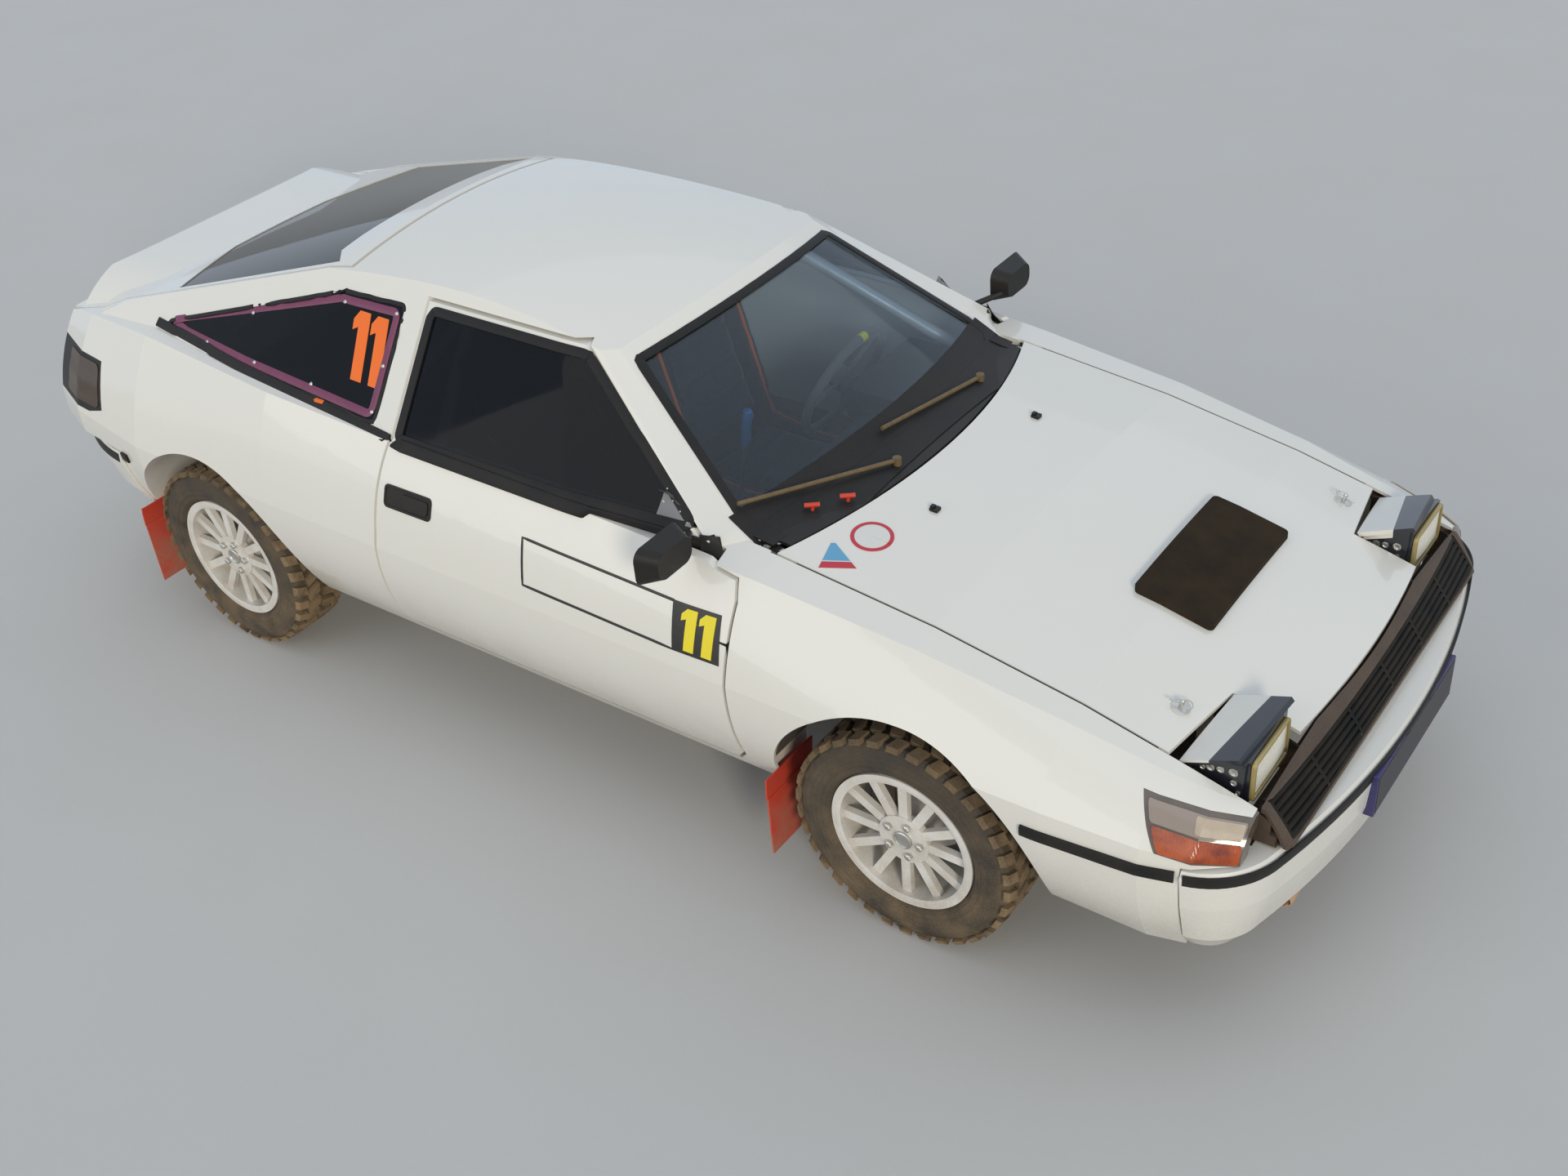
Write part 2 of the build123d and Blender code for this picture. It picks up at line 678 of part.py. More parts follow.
def rotor_bracket(side, z):
    """A door hinge: a pin on the swing axis, and an arm that passes inside the door to its post."""
    axis = (DOOR_AXIS_X, side * DOOR_AXIS_Y)
    inner_y = side * (CABIN_HALF - 32)
    post_x = DOOR_OUTLINE[0][0] + DOOR_GAP + 12
    with BuildPart() as hinge:
        add(rod((*axis, z - 44), (*axis, z + 44), 7))
        add(block((axis[0] - 7, side * (DOOR_AXIS_Y + 5), z - 14), (axis[0] + 7, inner_y, z + 14)))
        add(block((axis[0] - 7, inner_y, z - 14), (post_x, inner_y + side * 14, z + 14)))
    return hinge.part


# Body shell: roof, posts, quarters, rear panel, hinge posts and the hinges' fixed halves
HOOD_EAR_Y = 594
post_front_x = DOOR_OUTLINE[0][0] + DOOR_GAP
FOOT_Y = 672
with BuildPart() as cowl_space:
    add(block((450, -HOOD_HALF, 862), (900, HOOD_HALF, 1020)))
    add(house, mode=Mode.SUBTRACT)
hatch_space = [
    (x + (HATCH_SEAM if x > HATCH_FRONT_X - 1 else -20), y + (HATCH_GAP if y > 0 else -HATCH_GAP))
    for x, y in hatch_plan
]
openings = [
    block((post_front_x, -900, 0), (900, 900, 1100)),
    cowl_space.part,
    screen_cut.part,
    side_prism(QUARTER_WINDOW),
    plan_prism(hatch_space, HATCH_FOOT_Z - HATCH_GAP, ROOF_Z),
    block((REAR_BUMPER_SIDE_X + SEAM, -900, 0), (REAR_END, 900, 600 + SEAM)),
    side_prism(TAIL_LAMP, 1),
    side_prism(TAIL_LAMP, -1),
]
hood_x, hood_z = HOOD_AXIS
for side in (-1, 1):
    openings.append(block((hood_x - 20, side * (HOOD_EAR_Y - 12), 870), (780, side * (HOOD_EAR_Y + 12), 962)))
    with BuildPart() as door_space:
        add(door_cutter(side, DOOR_GAP))
        add(block((585, 0, 300), (800, side * FOOT_Y, 1000)), mode=Mode.SUBTRACT)
    openings.append(door_space.part)
    openings.append(arch_cylinder(REAR_AXLE_X, REAR_ARCH_Y, ARCH_R, side))
joined = []
for side in (-1, 1):
    with BuildPart() as hinge_post:
        add(lower_body(front_rows, SKIN + 1))
        add(block((post_front_x + 9, side * 640, 322), (808, side * 900, 905)), mode=Mode.INTERSECT)
    joined.append(hinge_post.part)
    joined.append(block((655, side * 640, 868), (post_front_x - 6, side * FOOT_Y, 905)))
    joined.append(block((655, side * 640, 868), (808, side * FOOT_Y, 886)))
    joined.append(block((690, side * 714, 312), (760, side * 750, 336)))
    joined += [rotor_bracket(side, z) for z in DOOR_HINGES_Z]
    joined.append(block((hood_x - 12, side * (HOOD_EAR_Y + 12), hood_z - 9), (hood_x + 12, side * 640, hood_z + 9)))
    joined.append(rod((hood_x, side * (HOOD_EAR_Y + 14), hood_z), (hood_x, side * (HOOD_EAR_Y - 10), hood_z), 6))
    hatch_x, hatch_z = HATCH_AXIS
    near, far = side * (HATCH_HINGE_Y - 8), side * (HATCH_HINGE_Y + 8)
    joined.append(rod((hatch_x, side * (HATCH_HINGE_Y - 22), hatch_z), (hatch_x, side * (HATCH_HINGE_Y + 22), hatch_z), 5))
    joined.append(block((hatch_x - 6, near, hatch_z - 45), (hatch_x + 6, far, hatch_z)))
    joined.append(block((hatch_x - 6, near, hatch_z - 45), (HATCH_FRONT_X + 28, far, hatch_z - 34)))
    joined.append(block((HATCH_FRONT_X + 16, near, hatch_z - 45), (HATCH_FRONT_X + 28, far, hatch_z + 4)))
with BuildPart() as body_shell:
    add(wall.part)
    add(openings, mode=Mode.SUBTRACT)
    add(joined)
save(body_shell.part, "body_shell")

# Cowl panel under the windshield, with the two wipers on it
with BuildPart() as cowl_panel:
    add(front_hull)
    add([lower_body(front_rows, 8), house, hood_outline(HOOD_GAP)], mode=Mode.SUBTRACT)
    add(block((601, -578, 880), (900, 578, 1000)), mode=Mode.INTERSECT)
save(cowl_panel.part, "cowl_panel")

# Wipers. Columns: pivot x, y and z, tip x, y and z
WIPERS = [
    (812, -160, 952, 604, -575, 988),
    (775, 330, 948, 722, -90, 986),
]
with BuildPart() as wipers:
    for pivot_x, pivot_y, pivot_z, tip_x, tip_y, tip_z in WIPERS:
        add(rod((pivot_x, pivot_y, pivot_z), (tip_x, tip_y, tip_z), 6))
        add(rod((pivot_x, pivot_y, pivot_z - 20), (pivot_x, pivot_y, pivot_z + 8), 12))
    add(cowl_panel.part, mode=Mode.SUBTRACT)
save(wipers.part, "wipers")

# Tail lamps, let into the rear corners
with BuildPart() as tail_lamps:
    add(lower_body(cabin_rows, 1))
    lamp_side = inset_outline(TAIL_LAMP, RUN)
    add(side_prism(lamp_side), mode=Mode.INTERSECT)
    with BuildPart(mode=Mode.PRIVATE) as behind_lamps:
        add(lower_body(cabin_rows, 40))
        add(block((-1500, -900, 600), (TAIL_X + 40, 900, 1000)), mode=Mode.INTERSECT)
    add([behind_lamps.part, block((-1500, -330, 600), (-2200, 330, 1000))], mode=Mode.SUBTRACT)
save(tail_lamps.part, "tail_lamps")

# Underbody: floor, tunnel, firewall, front rails and towers, boot floor and rear rails
TUNNEL_HALF = 110
FIREWALL_X = 712
RAIL_Y = 385
TOWER_TOP_Z = 812
BOOT_FRONT_X = -900
BOOT_Z = 440
floor_pieces = [
    block((BOOT_FRONT_X, -CABIN_HALF, FLOOR_Z), (FIREWALL_X + 18, CABIN_HALF, FLOOR_TOP)),
    block((BOOT_FRONT_X, -TUNNEL_HALF, FLOOR_TOP), (FIREWALL_X, TUNNEL_HALF, FLOOR_TOP + 110)),
    block((FIREWALL_X, -636, FLOOR_TOP), (FIREWALL_X + 18, 636, 858)),
    block((BOOT_FRONT_X, -570, FLOOR_TOP), (BOOT_FRONT_X + 16, 570, BOOT_Z + 16)),
    block((-2040, -570, BOOT_Z), (BOOT_FRONT_X, 570, BOOT_Z + 16)),
    block((-2098, -440, 420), (-2080, 440, 598)),
    block((-2085, -440, 420), (-2030, 440, BOOT_Z)),
    block((1985, -445, 330), (2010, 445, 360)),
    block((1985, -445, 520), (2010, 445, NOSE_FOOT_Z)),
]
for side in (-1, 1):
    floor_pieces += [
        block((FIREWALL_X, side * RAIL_Y, FLOOR_TOP + 5), (2010, side * 445, 430)),
        block((FIREWALL_X, side * 438, 430), (1120, side * 446, 800)),
        block((1300, side * 438, 430), (1800, side * 446, 690)),
        block((1100, side * 438, 430), (1320, side * 446, TOWER_TOP_Z)),
        block((1985, side * RAIL_Y, 330), (2010, side * 445, NOSE_FOOT_Z)),
        block((-2040, side * 440, 400), (BOOT_FRONT_X + 200, side * 500, BOOT_Z)),
        block((BOOT_FRONT_X, side * 440, FLOOR_TOP), (BOOT_FRONT_X + 200, side * 500, BOOT_Z)),
        block((BOOT_FRONT_X, side * 650, FLOOR_TOP), (DOOR_AXIS_X - 75, side * CABIN_HALF, 420)),
        block((BOOT_FRONT_X, side * 650, FLOOR_TOP), (FIREWALL_X, side * 662, 420)),
        block((2008, side * 395, 440), (2133, side * 435, 470)),
        block((-2155, side * 280, 530), (-2090, side * 320, 556)),
    ]
with BuildPart() as underbody:
    add(floor_pieces)
    add(block((BOOT_FRONT_X - 5, -85, 200), (FIREWALL_X + 25, 85, FLOOR_TOP + 92)), mode=Mode.SUBTRACT)
    towers = []
    for side in (-1, 1):
        with BuildPart(mode=Mode.PRIVATE) as tower:
            add(block((1108, side * 446, 668), (1312, side * 650, TOWER_TOP_Z)))
            add(block((1120, side * 446, 600), (1300, side * 638, TOWER_TOP_Z - 12)), mode=Mode.SUBTRACT)
            add(rod((FRONT_AXLE_X, side * STRUT_TOP_Y, 780), (FRONT_AXLE_X, side * STRUT_TOP_Y, 820), 34),
                mode=Mode.SUBTRACT)
        with BuildPart(mode=Mode.PRIVATE) as house_ring:
            add(arch_cylinder(FRONT_AXLE_X, 446, ARCH_R + 8, side))
            add(arch_cylinder(FRONT_AXLE_X, 440, ARCH_R, side), mode=Mode.SUBTRACT)
            add(lower_body(front_rows, SKIN + 1), mode=Mode.INTERSECT)
            add(block((760, side * 446, 436), (1700, side * 900, 760)), mode=Mode.INTERSECT)
            add(block((1120, side * 446, 600), (1300, side * 638, 800)), mode=Mode.SUBTRACT)
            add(block((700, side * 630, 300), (818, side * 900, 910)), mode=Mode.SUBTRACT)
        towers += [tower.part, house_ring.part]
    add(towers)
    add(list(covers.values()), mode=Mode.SUBTRACT)
save(underbody.part, "underbody")

# Front suspension and drive shafts, and the steering knuckles with their struts
with BuildPart() as front_suspension:
    add(block((1150, -330, 200), (1270, 330, 240)))
    for side in (-1, 1):
        ball = (FRONT_AXLE_X, side * BALL_Y, BALL_Z)
        for plate_x in (1150, 1246):
            add(block((plate_x, side * 250, 235), (plate_x + 24, side * 444, FLOOR_TOP + 5)))
        add(rod((FRONT_AXLE_X, side * 300, 222), (FRONT_AXLE_X, side * 636, 166), 14))
        add(rod((FRONT_AXLE_X, side * 628, 166), (FRONT_AXLE_X, side * BALL_Y, 162), 8))
        add(rod((FRONT_AXLE_X - 230, side * 420, 232), (FRONT_AXLE_X - 4, side * 630, 168), 12))
        add(block((FRONT_AXLE_X - 262, side * 395, 215), (FRONT_AXLE_X - 215, side * 444, FLOOR_TOP + 5)))
        with Locations(ball):
            Sphere(BALL_R)
save(front_suspension.part, "front_suspension")


def knuckle_part(side, axle_x, steered):
    """A hub carrier with its spindle and brake caliper; a steered one has a socket and a strut."""
    centre = (axle_x, side * WHEEL_Y, TYRE_R)
    with BuildPart() as carrier:
        add(rod((axle_x, side * 618, TYRE_R), (axle_x, side * 652, TYRE_R), 44))
        add(rod((axle_x, side * 640, TYRE_R), (axle_x, side * 770, TYRE_R), SPINDLE_R))
        add(block((axle_x - 26, side * 618, 200 if steered else 250), (axle_x + 26, side * 646, 420)))
        add(block((axle_x - 150, side * 626, TYRE_R - 45), (axle_x - 30, side * 646, TYRE_R + 45)))
        caliper = block((axle_x - 158, side * 640, TYRE_R - 60), (axle_x - 88, side * 702, TYRE_R + 60))
        slot = block(
            (axle_x - 139, side * (DISC_Y - DISC_T / 2 - 5), TYRE_R - 70),
            (axle_x - 60, side * (DISC_Y + DISC_T / 2 + 5), TYRE_R + 70),
        )
        with BuildPart(mode=Mode.PRIVATE) as clamp:
            add(caliper)
            add(slot, mode=Mode.SUBTRACT)
        add(clamp.part)
        if steered:
            ball = (axle_x, side * BALL_Y, BALL_Z)
            top = (axle_x, side * STRUT_TOP_Y, STRUT_TOP_Z)
            foot = (axle_x, side * 604, 380)
            add(rod((axle_x, side * 628, 202), (axle_x, side * BALL_Y, BALL_Z + 16), 11))
            kingpin = hypot(BALL_Y - STRUT_TOP_Y, STRUT_TOP_Z - BALL_Z)
            lean_y, lean_z = (STRUT_TOP_Y - BALL_Y) / kingpin, (STRUT_TOP_Z - BALL_Z) / kingpin
            socket = [(axle_x, side * (BALL_Y + lean_y * s), BALL_Z + lean_z * s) for s in (6, 28)]
            add(rod(*socket, 22))
            add(rod(foot, top, STRUT_R))
            with Locations(ball):
                Sphere(BALL_R + RUN, mode=Mode.SUBTRACT)
    return carrier.part


for side, name in ((-1, "right"), (1, "left")):
    piece = knuckle_part(side, FRONT_AXLE_X, True)
    save(piece, f"knuckle_{name}")

with BuildPart() as rear_suspension:
    add(block((REAR_AXLE_X - 60, -400, 262), (REAR_AXLE_X + 60, 400, 300)))
    for side in (-1, 1):
        add(knuckle_part(side, REAR_AXLE_X, False))
        for offset_x in (-48, 48):
            add(rod((REAR_AXLE_X + offset_x, side * 380, 281), (REAR_AXLE_X + offset_x, side * 632, 292), 13))
        add(block((REAR_AXLE_X - 60, side * 612, 262), (REAR_AXLE_X + 60, side * 640, 318)))
        add(rod((REAR_AXLE_X, side * 558, 281), (REAR_AXLE_X, side * 534, 428), STRUT_R))
        add(rod((REAR_AXLE_X, side * 548, 281), (REAR_AXLE_X, side * 632, 284), 20))
        add(block((REAR_AXLE_X - 35, side * 506, 424), (REAR_AXLE_X + 35, side * 564, BOOT_Z)))
        add(block((REAR_AXLE_X - 60, side * 340, 300), (REAR_AXLE_X + 60, side * 400, BOOT_Z)))
save(rear_suspension.part, "rear_suspension")

# Wheels. Rim profile, as half-width from the wheel's centre and radius
def rim_part(side, axle_x):
    """A rim with a drilled barrel, twelve spokes, hub and brake disc, turned about the axle."""
    out = side
    with BuildPart() as rim:
        with BuildSketch(Plane.XY):
            with BuildLine():
                half = RIM_W / 2
                Polyline(
                    (half, RIM_FLANGE_R),
                    (half - 8, RIM_FLANGE_R),
                    (half - 10, RIM_SEAT_R),
                    (-half + 10, RIM_SEAT_R),
                    (-half + 8, RIM_FLANGE_R),
                    (-half, RIM_FLANGE_R),
                    (-half, RIM_SEAT_R - RIM_WALL),
                    (half - 2, RIM_SEAT_R - RIM_WALL),
                    (half, RIM_SEAT_R),
                    close=True,
                )
            make_face()
        revolve(axis=Axis.X)
        dish = HUB_FACE_Y - WHEEL_Y
        with BuildSketch(Plane.YZ.offset(dish - SPOKE_T)):
            Circle(HUB_R)
        extrude(amount=SPOKE_T)
        with BuildSketch(Plane.YZ.offset(dish - SPOKE_T)):
            with PolarLocations(0, SPOKES):
                with Locations((HUB_R + 55, 0)):
                    Rectangle(150, SPOKE_W)
            Circle(RIM_SEAT_R - 4, mode=Mode.INTERSECT)
        extrude(amount=SPOKE_T - 4)
        with BuildSketch(Plane.YZ.offset(DISC_Y - WHEEL_Y - DISC_T / 2)):
            Circle(DISC_R)
        extrude(amount=DISC_T)
        with BuildSketch(Plane.YZ.offset(DISC_Y - WHEEL_Y - DISC_T / 2)):
            Circle(HUB_R - 14)
        extrude(amount=dish - (DISC_Y - WHEEL_Y - DISC_T / 2))
        with BuildSketch(Plane.YZ.offset(DISC_Y - WHEEL_Y - DISC_T / 2 - 1)):
            Circle(SPINDLE_R + RUN)
        extrude(amount=770 - DISC_Y + DISC_T / 2 + 2, mode=Mode.SUBTRACT)
    placed = rim.part.rotate(Axis.Z, 90 * out)
    return placed.moved(Location((axle_x, side * WHEEL_Y, TYRE_R)))


def tyre_part(side, axle_x):
    """A tyre with a flat tread band, rounded shoulders and bulged sidewalls."""
    half = TYRE_W / 2
    bead = RIM_W / 2 - 10
    with BuildPart() as tyre:
        with BuildSketch(Plane.XY):
            with BuildLine():
                Line((-bead, RIM_SEAT_R), (bead, RIM_SEAT_R))
                Line((bead, RIM_SEAT_R), (bead + 2, RIM_FLANGE_R + 1))
                ThreePointArc((bead + 2, RIM_FLANGE_R + 1), (half, 250), (half - 12, TYRE_R - 16))
                ThreePointArc((half - 12, TYRE_R - 16), (half - 18, TYRE_R - 5), (half - 32, TYRE_R))
                Line((half - 32, TYRE_R), (-half + 32, TYRE_R))
                ThreePointArc((-half + 32, TYRE_R), (-half + 18, TYRE_R - 5), (-half + 12, TYRE_R - 16))
                ThreePointArc((-half + 12, TYRE_R - 16), (-half, 250), (-bead - 2, RIM_FLANGE_R + 1))
                Line((-bead - 2, RIM_FLANGE_R + 1), (-bead, RIM_SEAT_R))
            make_face()
        revolve(axis=Axis.X)
    placed = tyre.part.rotate(Axis.Z, 90 * side)
    return placed.moved(Location((axle_x, side * WHEEL_Y, TYRE_R)))


for end, axle_x in (("front", FRONT_AXLE_X), ("rear", REAR_AXLE_X)):
    for side, name in ((-1, "right"), (1, "left")):
        piece = rim_part(side, axle_x)
        save(piece, f"rim_{end}_{name}")
        piece = tyre_part(side, axle_x)
        save(piece, f"tyre_{end}_{name}")


# Headlamps: lid, side brackets and lamp housing, closed first and then raised about the pivot
def headlamp_part(side):
    """One headlamp pod in its raised position."""
    axis_x, axis_z = LID_AXIS
    pivot = Axis((axis_x, 0, axis_z), (0, -1, 0))
    with BuildPart() as lid:
        add(front_hull)
        add(lower_body(front_rows, LID_T), mode=Mode.SUBTRACT)
        add(plan_prism([(x, side * y) for x, y in LID_OUTLINE], 600, 900), mode=Mode.INTERSECT)
    raised = lid.part.rotate(pivot, LAMP_RAISE)
    with BuildPart() as pod:
        for y in (LAMP_INNER_Y - 8, LAMP_OUTER_Y):
            with BuildSketch(Plane.XZ.offset(-side * (y + 4))):
                with BuildLine():
                    Polyline(
                        (axis_x - 16, axis_z - 12),
                        (axis_x + 60, axis_z - 30),
                        (1984, 650),
                        (1992, 830),
                        (axis_x + 22, axis_z + 80),
                        (axis_x + 14, axis_z + 14),
                        (axis_x - 14, axis_z + 10),
                        close=True,
                    )
                make_face()
                with Locations((axis_x, axis_z)):
                    Circle(LID_PIN_R + RUN, mode=Mode.SUBTRACT)
            extrude(amount=4, both=True)
        add(block((1905, side * LAMP_INNER_Y, 646), (1996, side * LAMP_OUTER_Y, 830)))
        under_lid = lower_body(front_rows, LID_T).rotate(pivot, LAMP_RAISE)
        add(under_lid, mode=Mode.INTERSECT)
        add(block((1990, side * (LAMP_INNER_Y + 12), 656), (2000, side * (LAMP_OUTER_Y - 12), 748)), mode=Mode.SUBTRACT)
        add(raised)
    return pod.part


for side, name in ((-1, "right"), (1, "left")):
    piece = headlamp_part(side)
    save(piece, f"headlamp_{name}")

# Door mirrors, each on a thin rod from the corner of the window
for side, name in ((-1, "right"), (1, "left")):
    with BuildPart() as mirror_body:
        with BuildSketch(Plane.YZ.offset(560)):
            with Locations((side * 845, 985)):
                RectangleRounded(175, 105, 30)
        with BuildSketch(Plane.YZ.offset(612)):
            with Locations((side * 840, 985)):
                RectangleRounded(130, 74, 30)
        loft()
        add(rod((590, side * 800, 974), (590, side * 764, 966), 9))
        add(rod((592, side * 770, 968), (536, side * 694, 950), 9))
        add(doors[name], mode=Mode.SUBTRACT)
    save(mirror_body.part, f"mirror_{name}")

# Mud flaps behind the four wheels
with BuildPart() as mud_flaps:
    for axle_x in (FRONT_AXLE_X, REAR_AXLE_X):
        for side in (-1, 1):
            outer_y, inner_y = side * (WHEEL_Y + 118), side * (WHEEL_Y + 118 - FLAP_W)
            flap_x = axle_x - (ARCH_R**2 - 40**2) ** 0.5 + 6
            with BuildPart(mode=Mode.PRIVATE) as flap:
                add(rod((axle_x, inner_y, TYRE_R), (axle_x, outer_y, TYRE_R), ARCH_R - RUN))
                add(rod((axle_x, 0, TYRE_R), (axle_x, outer_y, TYRE_R), ARCH_R - 5), mode=Mode.SUBTRACT)
                low_z = FLOOR_Z - 4 if axle_x > 0 else 334
                add(block((axle_x - 500, -900, low_z), (axle_x - 200, 900, low_z + 70)), mode=Mode.INTERSECT)
            add(flap.part)
            add(block((flap_x - 5, inner_y, FLAP_FOOT_Z), (flap_x, outer_y, low_z + 5)))
save(mud_flaps.part, "mud_flaps")

# Roll cage: main hoop, roof rails, front legs along the pillars, rear stays and a cross
CAGE_R = 20
HOOP_X = -430
CAGE_TUBES = [
    ((HOOP_X, 620, FLOOR_TOP), (HOOP_X, 655, 820)),
    ((HOOP_X, 655, 820), (HOOP_X, 392, 1218)),
    ((HOOP_X, 392, 1218), (110, 372, 1190)),
    ((110, 372, 1190), (560, 560, 880)),
    ((560, 560, 880), (640, 600, FLOOR_TOP)),
    ((HOOP_X, 392, 1218), (-1180, 480, 456)),
]
with BuildPart() as roll_cage:
    bars = []
    for start, end in CAGE_TUBES:
        for side in (-1, 1):
            ends = [(x, side * y, z) for x, y, z in (start, end)]
            bars.append(rod(*ends, CAGE_R))
            with BuildPart(mode=Mode.PRIVATE) as joint:
                with Locations(ends[0]):
                    Sphere(CAGE_R)
            if start[2] > FLOOR_TOP:
                bars.append(joint.part)
    bars.append(rod((HOOP_X, -392, 1218), (HOOP_X, 392, 1218), CAGE_R))
    bars.append(rod((110, -372, 1190), (110, 372, 1190), CAGE_R))
    bars.append(rod((HOOP_X, 655, 820), (HOOP_X, -655, 820), CAGE_R))
    bars.append(rod((HOOP_X, 645, 700), (HOOP_X, -392, 1218), CAGE_R))
    add(bars)
    under_floor = block((BOOT_FRONT_X, -700, 200), (1000, 700, FLOOR_TOP))
    add([under_floor, block((-1300, -700, 200), (BOOT_FRONT_X, 700, BOOT_Z + 16))], mode=Mode.SUBTRACT)
save(roll_cage.part, "roll_cage")

# Seats: two buckets, each a cushion shell with a back and side wings
with BuildPart() as seats:
    for side in (-1, 1):
        y = side * 350
        with BuildSketch(Plane.XZ.offset(-(y - 230))):
            with BuildLine():
                Polyline(
                    (300, FLOOR_TOP + 70),
                    (320, 470),
                    (40, 440),
                    (-150, 470),
                    (-330, 1120),
                    (-385, 1130),
                    (-330, 700),
                    (-260, FLOOR_TOP + 70),
                    close=True,
                )
            make_face()
        extrude(amount=-460)
        for edge in (-1, 1):
            shoulder = block((-420, y + edge * 185, 930), (-100, y + edge * 240, 1140))
            add(shoulder, mode=Mode.SUBTRACT)
        add(block((-200, y - 190, FLOOR_TOP), (220, y - 150, FLOOR_TOP + 72)))
        add(block((-200, y + 150, FLOOR_TOP), (220, y + 190, FLOOR_TOP + 72)))
save(seats.part, "seats")

# Dashboard with its binnacle, and the steering wheel on its column
DRIVER_Y = 350
with BuildPart() as dashboard:
    with BuildSketch(Plane.XZ.offset(505)):
        with BuildLine():
            Polyline(
                (FIREWALL_X, 640), (FIREWALL_X, 858), (590, 868), (500, 845), (440, 780), (470, 640), close=True
            )
        make_face()
    extrude(amount=-1010)
    add(block((430, DRIVER_Y - 190, 800), (600, DRIVER_Y + 155, 905)))
save(dashboard.part, "dashboard")
wheel_plane = Plane(origin=(290, DRIVER_Y, 800), z_dir=(cos(radians(25)), 0, -sin(radians(25))))
with BuildPart() as steering_wheel:
    with BuildSketch(Plane(origin=wheel_plane.origin, x_dir=wheel_plane.z_dir, z_dir=(0, 1, 0))):
        with Locations((0, 178)):
            Circle(14)
    revolve(axis=Axis(wheel_plane.origin, wheel_plane.z_dir))
    with BuildSketch(wheel_plane):
        Circle(36)
    extrude(amount=30, both=True)
    with BuildSketch(wheel_plane):
        with PolarLocations(0, 3, start_angle=90):
            with Locations((90, 0)):
                Rectangle(180, 26)
    extrude(amount=4, both=True)
    with BuildSketch(wheel_plane):
        Circle(19)
    extrude(amount=185)
    add(dashboard.part, mode=Mode.SUBTRACT)
save(steering_wheel.part, "steering_wheel")

# Engine block across the car, with its gearbox and drive shafts
with BuildPart() as engine:
    add(block((1330, -330, 300), (1690, 310, 690)))
    add(block((1360, -310, 690), (1560, 290, 745)))
    add(block((1130, -150, 300), (1330, 240, 480)))
    for side in (-1, 1):
        inner = -140 if side < 0 else 230
        add(rod((FRONT_AXLE_X, inner, TYRE_R), (FRONT_AXLE_X, side * 590, TYRE_R), 13))
        add(rod((FRONT_AXLE_X, side * 520, TYRE_R), (FRONT_AXLE_X, side * 590, TYRE_R), 38))
    add(block((1420, -RAIL_Y, 340), (1500, -320, 420)))
    add(block((1420, 300, 340), (1500, RAIL_Y, 420)))
save(engine.part, "engine")

# Exhaust: a pipe down the tunnel and over the rear links to a cross silencer
# Columns: x, y, z
EXHAUST_ROUTE = [
    (1330, -215, 350),
    (1275, -215, 350),
    (1275, -215, 268),
    (1100, -215, 268),
    (860, 0, 288),
    (-890, 0, 290),
    (-1080, 180, 352),
    (-1480, 240, 372),
    (-1690, 240, 350),
]
with BuildPart() as exhaust:
    with BuildLine() as route:
        FilletPolyline(*EXHAUST_ROUTE, radius=38)
    with BuildSketch(Plane(origin=route.line @ 0, z_dir=route.line % 0)):
        Circle(24)
    sweep(path=route.line)
    with BuildSketch(Plane.XZ.offset(-60)):
        with Locations((-1800, 350)):
            SlotOverall(230, 130)
    extrude(amount=-370)
    add(rod((-1850, 395, 322), (-2120, 395, 276), 26))
save(exhaust.part, "exhaust")
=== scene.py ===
# %% [markdown]
# # Rally car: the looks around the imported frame
# A white liftback coupe prepared for rallying, seen from above its front right corner. Every size is in
# metres, in the frame of the CAD: +X to the front, +Y to the driver's left, +Z up, and the origin on the
# ground below the middle of the car.

# %% [markdown]
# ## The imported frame
# The solids of the car come in as they were packed. The car could be modelled afresh for its looks, but
# then the looks and the collision shapes would drift apart. So all that follows is fitted to these solids.

from math import cos, pi, radians, sin

import bmesh
import bpy
import numpy as np
from mathutils import Matrix, Vector
from mathutils.bvhtree import BVHTree


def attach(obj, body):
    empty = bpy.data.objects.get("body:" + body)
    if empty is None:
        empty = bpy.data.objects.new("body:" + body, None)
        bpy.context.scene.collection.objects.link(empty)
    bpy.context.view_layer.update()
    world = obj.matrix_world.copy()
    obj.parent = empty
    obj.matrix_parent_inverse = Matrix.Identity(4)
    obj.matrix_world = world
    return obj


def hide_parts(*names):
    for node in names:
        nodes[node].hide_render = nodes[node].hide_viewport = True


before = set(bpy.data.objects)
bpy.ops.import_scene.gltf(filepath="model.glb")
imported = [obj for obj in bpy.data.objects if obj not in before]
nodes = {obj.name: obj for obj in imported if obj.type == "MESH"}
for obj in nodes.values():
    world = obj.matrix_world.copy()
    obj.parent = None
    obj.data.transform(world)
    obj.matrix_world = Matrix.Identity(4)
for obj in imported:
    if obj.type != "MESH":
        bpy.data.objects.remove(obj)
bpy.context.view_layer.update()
SIDES = ((-1, "right"), (1, "left"))

# %% [markdown]
# ## The camera
# A camera could be aimed with a constraint. Here its place and its three directions are known, so they
# become the columns of its matrix: the picture's right, down and forward directions in the car's frame.

